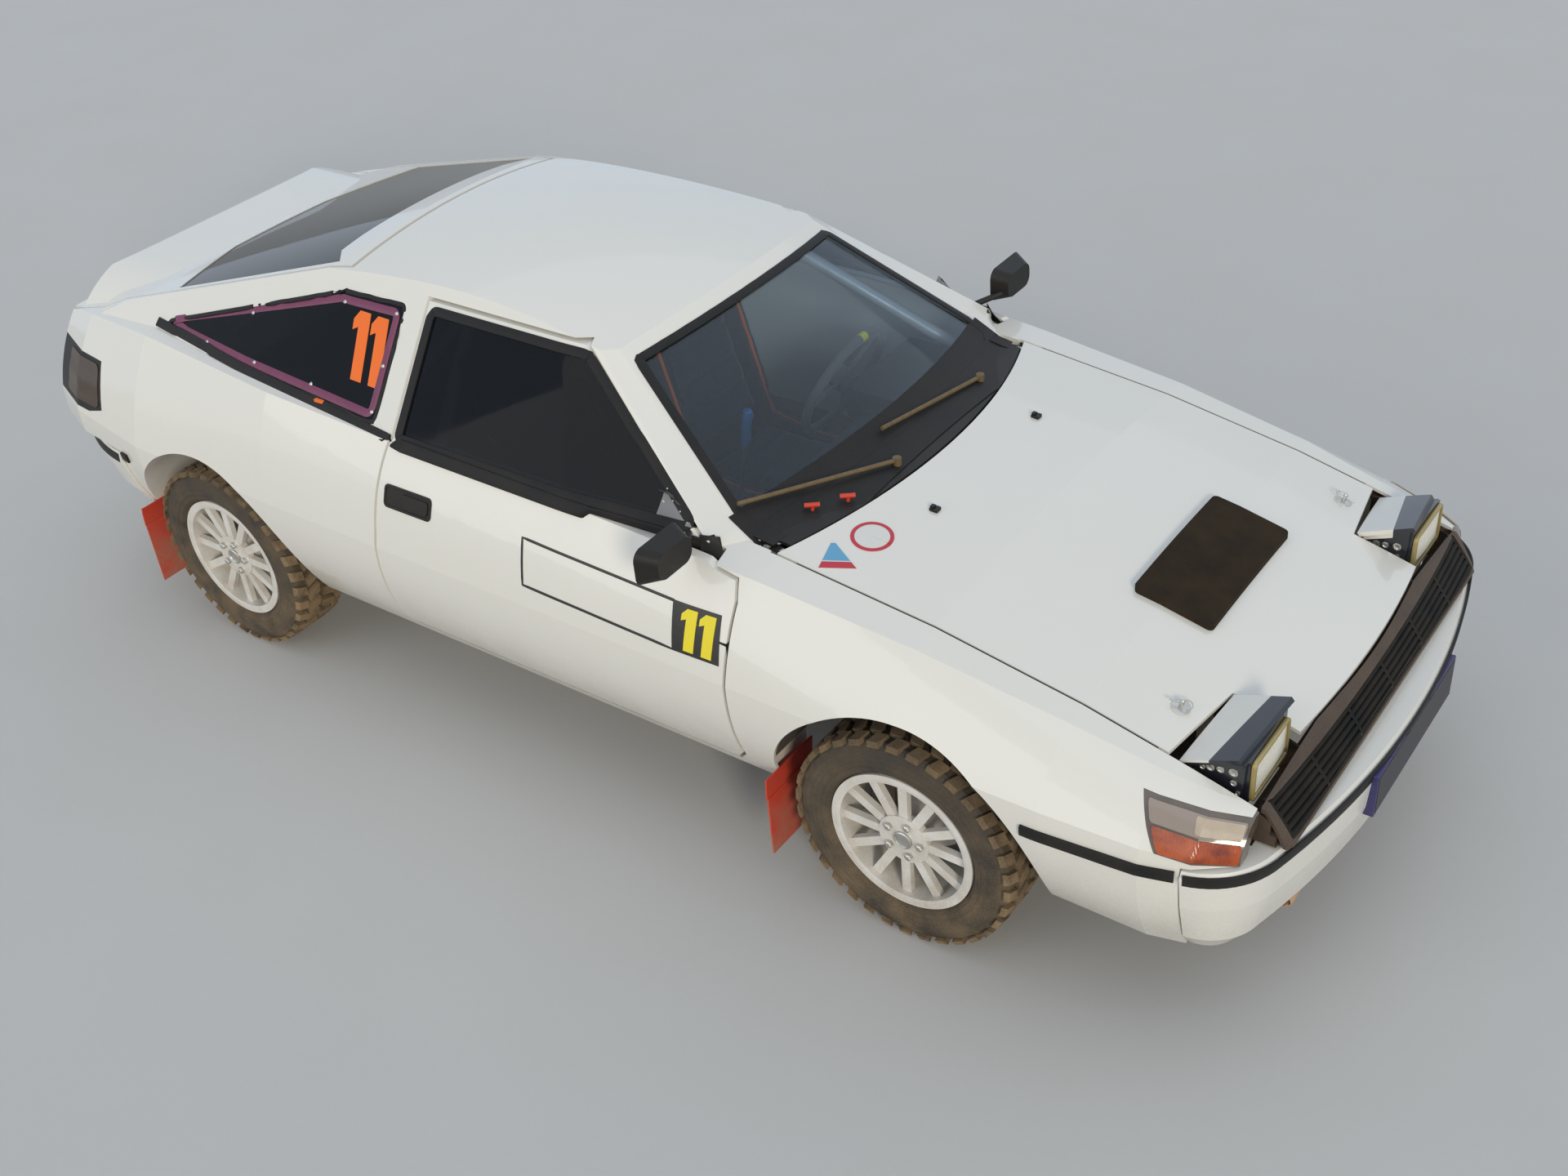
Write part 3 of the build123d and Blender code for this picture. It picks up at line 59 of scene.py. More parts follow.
# %% Camera
EYE = Vector((3.021, -3.449, 3.395))
RIGHT = Vector((0.81211, 0.57847, -0.07646))
DOWN = Vector((0.28737, -0.51055, -0.8104))
AHEAD = Vector((-0.50783, 0.63617, -0.58086))
FOCAL_PX, PICTURE_PX = 2172, 1920
camera_data = bpy.data.cameras.new("camera")
camera_data.sensor_width = 36.0
camera_data.lens = 36.0 * FOCAL_PX / PICTURE_PX
camera = bpy.data.objects.new("camera", camera_data)
turn = Matrix((RIGHT, -DOWN, -AHEAD)).transposed().to_4x4()
camera.matrix_world = Matrix.Translation(EYE) @ turn
bpy.context.scene.collection.objects.link(camera)
bpy.context.scene.camera = camera
bpy.context.scene.view_settings.view_transform = "Standard"
print("camera", tuple(round(c, 3) for c in EYE))

# %% [markdown]
# ## Surfaces from arrays
# Trim, seals and tyres are surfaces over two parameters. They could be drawn with curves and modifiers;
# arrays of points say the same in one line each and land in the mesh at their final size. `grid` joins a
# table of points with quads, and `swept` carries a profile along a path.


# %% Grid and sweep
def grid(points, closed_u=False, closed_v=False, caps=False):
    """Quads over points[i, j]; faces (i, j), (i+1, j), (i+1, j+1), (i, j+1), wrapped where closed."""
    count_u, count_v = points.shape[:2]
    ids = np.arange(count_u * count_v).reshape(count_u, count_v)
    i, j = np.meshgrid(
        np.arange(count_u if closed_u else count_u - 1),
        np.arange(count_v if closed_v else count_v - 1),
        indexing="ij",
    )
    i2, j2 = (i + 1) % count_u, (j + 1) % count_v
    quads = np.stack([ids[i, j], ids[i2, j], ids[i2, j2], ids[i, j2]], -1).reshape(-1, 4).tolist()
    if caps:
        quads += [ids[0].tolist()[::-1], ids[-1].tolist()]
    return points.reshape(-1, 3), quads


def swept(path, section, up, closed=False):
    """P(i, j) = path_i + a_j side_i + b_j up_i, where side = tangent x up and (a, b) is the section."""
    path = np.asarray(path, float)
    if closed:
        tangent = np.roll(path, -1, 0) - np.roll(path, 1, 0)
    else:
        tangent = np.gradient(path, axis=0)
    tangent /= np.linalg.norm(tangent, axis=1, keepdims=True)
    up = np.broadcast_to(np.asarray(up, float), path.shape)
    up = up - (up * tangent).sum(1, keepdims=True) * tangent
    up = up / np.linalg.norm(up, axis=1, keepdims=True)
    side = np.cross(tangent, up)
    section = np.asarray(section, float)
    points = path[:, None] + section[None, :, :1] * side[:, None] + section[None, :, 1:] * up[:, None]
    return grid(points, closed_u=closed, closed_v=True, caps=not closed)


# %% [markdown]
# ## Profiles
# Rubbers and mouldings are extruded strips with soft edges, so their profile is a rounded rectangle. Rods
# and piping have a round one.


# %% Profiles
def bar_section(width, height, corner, low=0.0, steps=3):
    """A rounded rectangle in (a, b): width along a, height along b from low upwards."""
    corner = min(corner, width / 2, height / 2)
    turns = np.linspace(0, pi / 2, steps)
    points = []
    for cx, cy, start in (
        (width / 2 - corner, height - corner, 0),
        (-width / 2 + corner, height - corner, pi / 2),
        (-width / 2 + corner, corner, pi),
        (width / 2 - corner, corner, 3 * pi / 2),
    ):
        points += [(cx + corner * cos(start + t), low + cy + corner * sin(start + t)) for t in turns]
    return np.array(points)


def round_section(radius, count=12, flat=1.0):
    """A circle (radius cos t, flat radius sin t)."""
    t = np.arange(count) * 2 * pi / count
    return np.stack([radius * np.cos(t), flat * radius * np.sin(t)], 1)


# %% [markdown]
# ## Turned and boxed pieces
# Screws, nuts and washers are turned on a lathe, and so is their mesh: a short profile of distances along
# and from an axis, carried round it. A plain block needs its eight corners only.


# %% Lathe, box and join
BOX_FACES = [[0, 1, 3, 2], [4, 6, 7, 5], [0, 4, 5, 1], [2, 3, 7, 6], [0, 2, 6, 4], [1, 5, 7, 3]]


def joined(*parts):
    """One mesh from several (points, faces) pairs."""
    points, faces, base = [], [], 0
    for part_points, part_faces in parts:
        points.append(np.asarray(part_points, float).reshape(-1, 3))
        faces += [[i + base for i in face] for face in part_faces]
        base += len(points[-1])
    return np.concatenate(points), faces


def box_mesh(low, high):
    """An upright block between two corners."""
    low, high = np.minimum(low, high), np.maximum(low, high)
    corners = np.array([[x, y, z] for x in (0, 1) for y in (0, 1) for z in (0, 1)], float)
    return low + corners * (high - low), BOX_FACES


def lathe(profile, centre, axis, count=48, closed=True):
    """A profile (along, radius) turned about an axis: P = centre + along a + radius (u cos t + v sin t)."""
    axis = np.asarray(axis, float) / np.linalg.norm(axis)
    side = np.cross(axis, (0.0, 0.0, 1.0) if abs(axis[2]) < 0.9 else (1.0, 0.0, 0.0))
    side /= np.linalg.norm(side)
    other = np.cross(axis, side)
    t = np.arange(count) * 2 * pi / count
    along, radius = np.asarray(profile, float).T
    ring = np.cos(t)[:, None] * side + np.sin(t)[:, None] * other
    points = np.asarray(centre) + along[None, :, None] * axis + radius[None, :, None] * ring[:, None]
    return grid(points, closed_u=True, closed_v=closed)


# %% [markdown]
# ## From a mesh to a piece that rides
# A piece needs outward faces, a finish and the body that it moves with.


def add(name, body, mesh, material, angle=40, bevel=0.0):
    """An object from (points, faces), with outward faces, riding on a body; angle marks its sharp edges."""
    points, faces = mesh
    data = bpy.data.meshes.new(name)
    data.from_pydata(np.asarray(points, float).tolist(), [], [tuple(f) for f in faces])
    work = bmesh.new()
    work.from_mesh(data)
    bmesh.ops.remove_doubles(work, verts=work.verts, dist=1e-6)
    bmesh.ops.recalc_face_normals(work, faces=work.faces)
    work.to_mesh(data)
    work.free()
    data.shade_smooth()
    data.set_sharp_from_angle(angle=radians(angle))
    data.materials.append(material)
    piece = bpy.data.objects.new(name, data)
    bpy.context.scene.collection.objects.link(piece)
    if bevel:
        rounding = piece.modifiers.new("bevel", "BEVEL")
        rounding.width, rounding.segments, rounding.limit_method = bevel, 2, "ANGLE"
    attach(piece, body)
    return piece


# %% [markdown]
# ## Laying things on the panels
# Numbers, seals and handles follow the panels under them. A shrinkwrap modifier would do that too, but it
# pulls to the nearest face and can slip into a gap. Rays cast in a chosen direction land where they are
# sent, and the normal of each hit lifts the piece off the paint.


# %% Casting onto the solids
def tree_of(*names):
    """A search tree over the triangles of some CAD nodes."""
    points, faces, base = [], [], 0
    for name in names:
        data = nodes[name].data
        co = np.empty(len(data.vertices) * 3)
        data.vertices.foreach_get("co", co)
        points.append(co.reshape(-1, 3))
        faces += [[i + base for i in p.vertices] for p in data.polygons]
        base += len(data.vertices)
    return BVHTree.FromPolygons([Vector(p) for p in np.concatenate(points)], faces)


def cast(tree, starts, direction, reach=5.0):
    """Where rays from starts along direction meet a tree within reach; gaps are filled along the row."""
    starts = np.asarray(starts, float)
    flat = starts.reshape(-1, 3)
    hits = np.full(flat.shape, np.nan)
    normals = np.full(flat.shape, np.nan)
    way = Vector(direction)
    for i, start in enumerate(flat):
        place, normal, _, _ = tree.ray_cast(Vector(start), way, reach)
        if place is not None:
            hits[i] = place
            normals[i] = normal if normal.dot(way) < 0 else -normal
    good = ~np.isnan(hits[:, 0])
    where = np.arange(len(flat))
    depth = ((hits - flat) * np.asarray(direction)).sum(1)
    depth = np.interp(where, where[good], depth[good])
    hits = flat + depth[:, None] * np.asarray(direction)
    for k in range(3):
        normals[:, k] = np.interp(where, where[good], normals[good, k])
    normals /= np.linalg.norm(normals, axis=1, keepdims=True)
    return hits.reshape(starts.shape), normals.reshape(starts.shape)


# %% [markdown]
# ## Onto the flanks
# Most of the trim lies on the sides of the car. Its points are given as (x, z), as in a side view, and rays
# from beside the car carry them to the panel. A bar or a row of small heads is then made on the hits.

# %% Onto the flanks
FAR = 1.2


def on_side(tree, run, side):
    """Points (x, z), cast onto the car's flank from a distance FAR beside its middle."""
    run = np.asarray(run, float)
    starts = np.stack([run[..., 0], np.full(run.shape[:-1], side * FAR), run[..., 1]], -1)
    return cast(tree, starts, (0, -side, 0))


def side_bar(name, body, tree, run, side, section, material, closed=False):
    """A bar swept along points (x, z) of a flank."""
    places, normals = on_side(tree, run, side)
    return add(name, body, swept(places, section, normals, closed), material)


def studs(tree, run, side, profile, count=10):
    """A small turned head at each point (x, z) of a flank, standing on its panel."""
    places, normals = on_side(tree, run, side)
    return joined(*(lathe(profile, place, out, count, False) for place, out in zip(places, normals)))


# %% [markdown]
# ## Thin plates
# Stickers and plates are closed slabs a millimetre or two thick, so that they keep an edge that catches
# the light. A plate starts as a unit square, which an outline maps to its shape and rays carry to the panel.


# %% Plates
def shell_between(top, bottom):
    """A closed slab between two tables of points of the same shape."""
    n, m = top.shape[:2]
    ids = np.arange(n * m).reshape(n, m)
    upper = grid(top)[1]
    lower = [[i + n * m for i in face[::-1]] for face in upper]
    ring = np.concatenate([ids[0, :], ids[1:, -1], ids[-1, -2::-1], ids[-2:0, 0]])
    following = np.roll(ring, -1)
    rim = [[int(a), int(b), int(b) + n * m, int(a) + n * m] for a, b in zip(ring, following)]
    return np.concatenate([top.reshape(-1, 3), bottom.reshape(-1, 3)]), upper + lower + rim


def laid(places, normals, lift, depth=0.001):
    """A slab on a panel, from depth below its skin to lift above it; lift may differ from point to point."""
    return shell_between(places + np.asarray(lift, float)[..., None] * normals, places - depth * normals)


def unit_square(steps):
    """Tables of u and v, both from 0 to 1."""
    return np.meshgrid(np.linspace(0, 1, steps[0]), np.linspace(0, 1, steps[1]), indexing="ij")


def patch(tree, outline, corner, across, along, direction, lift, depth=0.001, steps=(12, 12)):
    """A plate on a panel: P(u, v) is cast from corner + u across + v along, with (u, v) mapped by outline."""
    u, v = outline(*unit_square(steps))
    starts = np.asarray(corner) + u[..., None] * np.asarray(across) + v[..., None] * np.asarray(along)
    return laid(*cast(tree, starts, direction), lift, depth)


def side_patch(tree, side, outline, corner, size, lift, depth=0.001, steps=(12, 12)):
    """A plate on a flank, with its corner and its size given as (x, z)."""
    return patch(tree, outline, (corner[0], side * FAR, corner[1]), (size[0], 0, 0), (0, 0, size[1]),
                 (0, -side, 0), lift, depth, steps)


# %% [markdown]
# ## Outlines
# A few numbers say what a long list of points would: `slanted` maps the unit square onto four corners,
# `rounded` gives it round ends, and `rounded_path` joins straight runs by corner arcs.


# %% Outlines
def slanted(shape):
    """Maps the unit square onto a quadrilateral given as four (u, v) corners, low edge first."""
    corners = np.array(shape, float)

    def warp(u, v):
        low = corners[0] + u[..., None] * (corners[1] - corners[0])
        high = corners[3] + u[..., None] * (corners[2] - corners[3])
        both = low + v[..., None] * (high - low)
        return both[..., 0], both[..., 1]

    return warp


def rounded(radius_u, radius_v):
    """Maps the unit square onto one with round corners: the rows near the ends grow shorter."""

    def warp(u, v):
        near = np.clip((radius_v - np.minimum(v, 1 - v)) / radius_v, 0, 1)
        shorter = radius_u * (1 - np.sqrt(np.clip(1 - near**2, 0, 1)))
        return shorter + u * (1 - 2 * shorter), v

    return warp


def rounded_path(corners, radii, step=0.02, closed=True):
    """Points along straight runs and corner arcs, in the plane of the two given coordinates."""
    corners = np.asarray(corners, float)
    count = len(corners)
    out = []
    for i in range(count):
        here = corners[i]
        if not closed and i in (0, count - 1):
            out.append(here[None])
            continue
        before, after = corners[i - 1], corners[(i + 1) % count]
        a = (before - here) / np.linalg.norm(before - here)
        b = (after - here) / np.linalg.norm(after - here)
        half = np.arccos(np.clip((a * b).sum(), -1, 1)) / 2
        reach = radii[i] / np.tan(half) if radii[i] else 0
        start, end = here + a * reach, here + b * reach
        t = np.linspace(0, 1, 7)[:, None] if radii[i] else np.zeros((1, 1))
        out.append((1 - t) ** 2 * start + 2 * t * (1 - t) * here + t**2 * end)
    runs = np.concatenate(out)
    if closed:
        runs = np.concatenate([runs, runs[:1]])
    lengths = np.linalg.norm(np.diff(runs, axis=0), axis=1)
    keep = np.concatenate([[True], lengths > 1e-9])
    runs = runs[keep]
    place = np.concatenate([[0], np.cumsum(np.linalg.norm(np.diff(runs, axis=0), axis=1))])
    count = max(8, int(place[-1] / step))
    wanted = np.linspace(0, place[-1], count + 1)
    wanted = np.unique(np.concatenate([wanted, place]))
    if closed:
        wanted = wanted[:-1]
    return np.stack([np.interp(wanted, place, runs[:, k]) for k in range(runs.shape[1])], 1)


# %% [markdown]
# ## Node helpers
# The same few shader nodes are placed again and again. These helpers place one and link or set its inputs,
# so that a material reads as a formula.


# %% Node helpers
def new_group(name, inputs, outputs):
    group = bpy.data.node_groups.new(name, "ShaderNodeTree")
    for kind, label, value in inputs:
        socket = group.interface.new_socket(label, in_out="INPUT", socket_type=kind)
        socket.default_value = value
    for kind, label in outputs:
        group.interface.new_socket(label, in_out="OUTPUT", socket_type=kind)
    return group, group.nodes.new("NodeGroupInput"), group.nodes.new("NodeGroupOutput")


def math_node(tree, operation, a, b=0.0, clamp=False):
    node = tree.nodes.new("ShaderNodeMath")
    node.operation, node.use_clamp = operation, clamp
    for socket, value in zip(node.inputs, (a, b)):
        if hasattr(value, "is_output"):
            tree.links.new(value, socket)
        else:
            socket.default_value = value
    return node.outputs[0]


def noise(tree, vector, scale, detail=4.0):
    node = tree.nodes.new("ShaderNodeTexNoise")
    node.inputs["Detail"].default_value = detail
    tree.links.new(vector, node.inputs["Vector"])
    if hasattr(scale, "is_output"):
        tree.links.new(scale, node.inputs["Scale"])
    else:
        node.inputs["Scale"].default_value = scale
    return node.outputs["Fac"]


def mix_colour(tree, factor, a, b):
    node = tree.nodes.new("ShaderNodeMix")
    node.data_type = "RGBA"
    for socket, value in ((node.inputs["Factor"], factor), (node.inputs["A"], a), (node.inputs["B"], b)):
        if hasattr(value, "is_output"):
            tree.links.new(value, socket)
        else:
            socket.default_value = value
    return node.outputs["Result"]


# %% [markdown]
# ## Road dust
# A rally car is dusty low down and cleaner at the roof, with a patchy edge. The dust could be painted into
# an image; a node group made of two noises and a fade along height has no seams and no file, and every
# finish can share it. It gives a colour, a roughness and a height, and leaves the shader to the material.

# %% The dirt group
COLOUR, FLOAT = "NodeSocketColor", "NodeSocketFloat"
dirt, dirt_in, dirt_out = new_group(
    "dirt",
    [
        (COLOUR, "Base", (0.8, 0.8, 0.8, 1)),
        (COLOUR, "Dust", (0.3, 0.22, 0.14, 1)),
        (FLOAT, "Amount", 0.5),
        (FLOAT, "Low", 0.1),
        (FLOAT, "High", 0.6),
        (FLOAT, "Scale", 6.0),
        (FLOAT, "Roughness", 0.3),
    ],
    [(COLOUR, "Color"), (FLOAT, "Roughness"), (FLOAT, "Height")],
)
SKY_SHARE = 0.06  # dust left on surfaces above the fade
places = dirt.nodes.new("ShaderNodeTexCoord").outputs["Object"]
split = dirt.nodes.new("ShaderNodeSeparateXYZ")
dirt.links.new(places, split.inputs[0])
fade = dirt.nodes.new("ShaderNodeMapRange")
fade.interpolation_type = "SMOOTHSTEP"
dirt.links.new(split.outputs["Z"], fade.inputs["Value"])
dirt.links.new(dirt_in.outputs["Low"], fade.inputs["From Min"])
dirt.links.new(dirt_in.outputs["High"], fade.inputs["From Max"])
fade.inputs["To Min"].default_value, fade.inputs["To Max"].default_value = 1.0, SKY_SHARE
broad = noise(dirt, places, dirt_in.outputs["Scale"], 5)
fine = noise(dirt, places, math_node(dirt, "MULTIPLY", dirt_in.outputs["Scale"], 22), 3)
patchy = math_node(dirt, "MULTIPLY_ADD", broad, 1.6)
patchy.node.inputs[2].default_value = -0.35
speckle = math_node(dirt, "MULTIPLY", math_node(dirt, "SUBTRACT", fine, 0.5), 0.9)
amount = math_node(dirt, "MULTIPLY", dirt_in.outputs["Amount"], fade.outputs["Result"])
mask = math_node(dirt, "MULTIPLY", math_node(dirt, "ADD", patchy, speckle), amount, clamp=True)
dusty = mix_colour(dirt, mask, dirt_in.outputs["Base"], dirt_in.outputs["Dust"])
dirt.links.new(dusty, dirt_out.inputs["Color"])
dulled = math_node(dirt, "MULTIPLY", mask, 0.4)
rough = math_node(dirt, "ADD", dirt_in.outputs["Roughness"], dulled, clamp=True)
uneven = math_node(dirt, "MULTIPLY", math_node(dirt, "SUBTRACT", broad, 0.5), 0.08)
dirt.links.new(math_node(dirt, "ADD", rough, uneven, clamp=True), dirt_out.inputs["Roughness"])
height = math_node(dirt, "ADD", mask, math_node(dirt, "MULTIPLY", fine, 0.35))
dirt.links.new(height, dirt_out.inputs["Height"])
print("groups", [g.name for g in bpy.data.node_groups])

# %% [markdown]
# ## One maker for the opaque finishes
# Paint, rubber, plastic, cloth and metal differ in a few numbers only, so one function makes them all: the
# dirt group feeds the colour, the roughness and the bump, and a fine grain is added where a surface is
# moulded, cast or woven. `low` and `high` are the heights between which the dust fades, and EVEN lies
# above the roof, so that the dust stays even.


# %% Opaque finishes
DUST = (0.30, 0.235, 0.16, 1)
EVEN = 2.0


def finish(name, base, roughness, metallic=0.0, coat=0.0, amount=0.3, low=0.1,
           high=EVEN, scale=5.0, dust=DUST, bump=0.04, grain=0.0, grain_scale=400.0, sheen=0.0, specular=0.5):
    """A Principled finish with dirt."""
    material = bpy.data.materials.new(name)
    material.use_nodes = True
    tree = material.node_tree
    shader = tree.nodes["Principled BSDF"]
    group = tree.nodes.new("ShaderNodeGroup")
    group.node_tree = dirt
    settings = {"Base": (*base, 1), "Dust": dust, "Amount": amount, "Low": low, "High": high, "Scale": scale,
                "Roughness": roughness}
    for label, value in settings.items():
        group.inputs[label].default_value = value
    tree.links.new(group.outputs["Color"], shader.inputs["Base Color"])
    tree.links.new(group.outputs["Roughness"], shader.inputs["Roughness"])
    shader.inputs["Metallic"].default_value = metallic
    shader.inputs["Coat Weight"].default_value = coat
    shader.inputs["Coat Roughness"].default_value = 0.04
    shader.inputs["Specular IOR Level"].default_value = specular
    shader.inputs["Sheen Weight"].default_value = sheen
    height = group.outputs["Height"]
    if grain:
        where = tree.nodes.new("ShaderNodeTexCoord").outputs["Object"]
        texture = math_node(tree, "MULTIPLY", noise(tree, where, grain_scale, 2), grain)
        height = math_node(tree, "ADD", height, texture)
    relief = tree.nodes.new("ShaderNodeBump")
    relief.inputs["Strength"].default_value = 0.25
    relief.inputs["Distance"].default_value = bump * 0.01
    tree.links.new(height, relief.inputs["Height"])
    tree.links.new(relief.outputs["Normal"], shader.inputs["Normal"])
    return material


# %% [markdown]
# ## Glass
# Tinted glass keeps a plain transmission weight. Left alone it would shade the cabin too darkly, because
# light has to bend through it twice, so shadow rays and diffuse rays meet a clear sheet of its tint.


# %% Glass maker
def glass(name, base, roughness=0.02, transmission=1.0, dirt_amount=0.12, index=1.46):
    """Tinted glass: a plain transmission weight, faint dust on its colour, and light let in behind it."""
    material = finish(name, base, roughness, amount=dirt_amount, low=0.0, high=4.0, scale=2.5,
                      bump=0.01)
    shader = material.node_tree.nodes["Principled BSDF"]
    shader.inputs["Transmission Weight"].default_value = transmission
    shader.inputs["IOR"].default_value = index
    tree = material.node_tree
    relief = next(n for n in tree.nodes if n.bl_idname == "ShaderNodeBump")
    relief.inputs["Strength"].default_value = 0.01
    rays = tree.nodes.new("ShaderNodeLightPath")
    clear = tree.nodes.new("ShaderNodeBsdfTransparent")
    clear.inputs["Color"].default_value = (*[0.5 + 0.5 * c for c in base], 1)
    both = tree.nodes.new("ShaderNodeMixShader")
    lit = math_node(tree, "MAXIMUM", rays.outputs["Is Shadow Ray"], rays.outputs["Is Diffuse Ray"])
    tree.links.new(lit, both.inputs["Fac"])
    tree.links.new(shader.outputs[0], both.inputs[1])
    tree.links.new(clear.outputs[0], both.inputs[2])
    tree.links.new(both.outputs[0], tree.nodes["Material Output"].inputs["Surface"])
    return material


# %% [markdown]
# ## Paints
# The body is a warm white enamel under a thin clear coat, dusty below the belt. The bumpers are a little
# duller, and the cage and the wheels have paints of their own.

# %% Paints
white_paint = finish("white paint", (0.80, 0.785, 0.725), 0.30, coat=0.7, amount=0.42,
                     low=0.22, high=0.62)
lamp_paint = finish("lamp lid paint", (0.80, 0.785, 0.725), 0.30, coat=0.5, amount=0.2)
white_bumper = finish("white bumper paint", (0.80, 0.785, 0.73), 0.36, coat=0.5, amount=0.40,
                      low=0.2, high=0.6)
cage_paint = finish("cage paint", (0.50, 0.49, 0.46), 0.4, coat=0.4, amount=0.2)
wheel_white = finish("wheel paint", (0.80, 0.79, 0.75), 0.34, coat=0.5, amount=0.75, low=0.05,
                     high=0.9, scale=13, dust=(0.34, 0.25, 0.16, 1))
print("paints", len(bpy.data.materials))

# %% [markdown]
# ## Rubbers and plastics
# Black parts of a car are never the same black: rubber is dull, the grille is its own black darkened further
# by painted shade for the dark space behind its openings, and plastic that stood in the sun turns brown. Each
# gets its own value and grain.

# %% Rubbers and plastics
red_rubber = finish("red flap", (0.62, 0.045, 0.02), 0.55, amount=1.1, high=0.42, scale=9,
                    grain=0.5)
black_rubber = finish("black rubber", (0.012, 0.012, 0.013), 0.5, amount=0.08, scale=9, grain=0.15,
                      specular=0.2)
black_plastic = finish("black plastic", (0.012, 0.012, 0.012), 0.42, amount=0.08, scale=8, grain=0.12,
                       grain_scale=900, specular=0.22)
# Painted shade as well as black plastic: darker and duller than black plastic, so the grille stands for the
# shade behind its openings
grille_shade_black = finish("grille black with painted shade", (0.006, 0.006, 0.006), 0.5, amount=0.10, scale=12, specular=0.12)
brown_plastic = finish("weathered grille plastic", (0.060, 0.040, 0.031), 0.5, scale=7, grain=0.7,
                       specular=0.3)
wiper_brown = finish("dusty wiper", (0.17, 0.115, 0.05), 0.55, amount=0.7, scale=60,
                     dust=(0.03, 0.022, 0.012, 1))
scoop_black = finish("flocked black", (0.020, 0.014, 0.009), 0.85, specular=0.15, amount=0.5, scale=14,
                     dust=(0.10, 0.07, 0.04, 1), bump=0.12, grain=1.0, grain_scale=650)
grey_plate = finish("grey plate", (0.20, 0.20, 0.21), 0.45, metallic=0.4, scale=20)
plate_blue = finish("plate holder blue", (0.03, 0.03, 0.14), 0.4, amount=0.2)
plate_dark = finish("bare dark plate", (0.010, 0.010, 0.020), 0.35, amount=0.12, specular=0.25)
blue_grip = finish("blue grip", (0.05, 0.20, 0.45), 0.3, metallic=0.4, amount=0.2, scale=40)
print("with plastics", len(bpy.data.materials))

# %% [markdown]
# ## Metals
# Below the car the metal is cast or undersealed, so it is rough and grainy. Screws and nuts are zinc
# plated, and the frames of the lamps have yellowed.

# %% Metals
dark_metal = finish("underseal", (0.030, 0.028, 0.027), 0.75, amount=0.6, low=0.2, high=0.8,
                    bump=0.06, grain=0.4, grain_scale=160, specular=0.3)
cast_metal = finish("cast metal", (0.13, 0.12, 0.11), 0.6, metallic=0.7, amount=0.6, high=1.0,
                    bump=0.1, grain=0.9, grain_scale=260)
bright_steel = finish("exhaust steel", (0.42, 0.38, 0.33), 0.38, metallic=0.9, amount=0.5,
                      high=0.7, scale=11)
zinc = finish("zinc plate", (0.55, 0.54, 0.50), 0.35, metallic=0.9, amount=0.25, scale=20)
lamp_yellow = finish("yellowed frame", (0.42, 0.33, 0.13), 0.4, metallic=0.3, amount=0.2)
print("with metals", len(bpy.data.materials))

# %% [markdown]
# ## Tyres
# The walls and the blocks are the same rubber, but the blocks have just been through the dust.

# %% Tyre rubbers
tyre_rubber = finish("tyre rubber", (0.022, 0.020, 0.018), 0.72, amount=1.1, low=0.0, high=1.0,
                     scale=12, dust=(0.20, 0.145, 0.085, 1), bump=0.1, grain=0.6, grain_scale=300)
tread_rubber = finish("dusty tread", (0.05, 0.036, 0.024), 0.85, amount=1.9, low=0.0, high=1.2,
                      scale=16, dust=(0.26, 0.18, 0.10, 1), bump=0.16, grain=0.8, grain_scale=300)
print("with tyres", len(bpy.data.materials))

# %% [markdown]
# ## Vinyls
# Numbers, borders and signs are cut from coloured film. A film is smooth and thin, so it takes hardly any
# dust and no grain.


# %% Vinyls
def vinyl(name, base, roughness=0.35):
    """Coloured film with a trace of dust."""
    return finish(name, base, roughness, amount=0.1)


yellow = vinyl("yellow vinyl", (0.90, 0.75, 0.02), 0.4)
orange_vinyl = vinyl("orange vinyl", (0.95, 0.17, 0.005), 0.4)
black_vinyl = vinyl("black vinyl", (0.012, 0.012, 0.012))
red_vinyl = vinyl("red vinyl", (0.55, 0.012, 0.04))
blue_vinyl = vinyl("blue vinyl", (0.12, 0.38, 0.62))
white_vinyl = vinyl("white vinyl", (0.78, 0.77, 0.73))
plum = finish("plum border", (0.20, 0.035, 0.10), 0.25, amount=0.6, scale=30,
              dust=(0.02, 0.008, 0.015, 1))
print("with vinyls", len(bpy.data.materials))

# %% [markdown]
# ## Cloths
# Cloth scatters light at its edges, which the sheen gives, and its weave is a fine grain.

# %% Cloths
seat_cloth = finish("seat cloth", (0.022, 0.022, 0.025), 0.9, amount=0.2, bump=0.03, grain=0.6,
                    grain_scale=600, sheen=0.2)
pad_cloth = finish("pad cloth", (0.032, 0.032, 0.038), 0.85, amount=0.35, scale=9, bump=0.03,
                   grain=0.6, grain_scale=700, sheen=0.2, dust=(0.10, 0.09, 0.08, 1))
suede = finish("wheel suede", (0.17, 0.15, 0.125), 0.9, amount=0.4, scale=14, grain=0.8, grain_scale=900,
               sheen=0.3, dust=(0.07, 0.06, 0.05, 1))
strap_cloth = finish("faded strap", (0.55, 0.33, 0.20), 0.8, amount=0.6, scale=30, grain=1.0,
                     grain_scale=900)
piping = finish("orange piping", (0.75, 0.14, 0.02), 0.7, amount=0.1, grain=0.5)
print("with cloths", len(bpy.data.materials))

# %% [markdown]
# ## Glass and lamp plastics
# The windscreen is nearly clear and blue, the side sheets are dark, and the hatch glass is brownish. The
# corner lenses could be glass as well; at their size a coated plastic that mirrors the sky reads better.

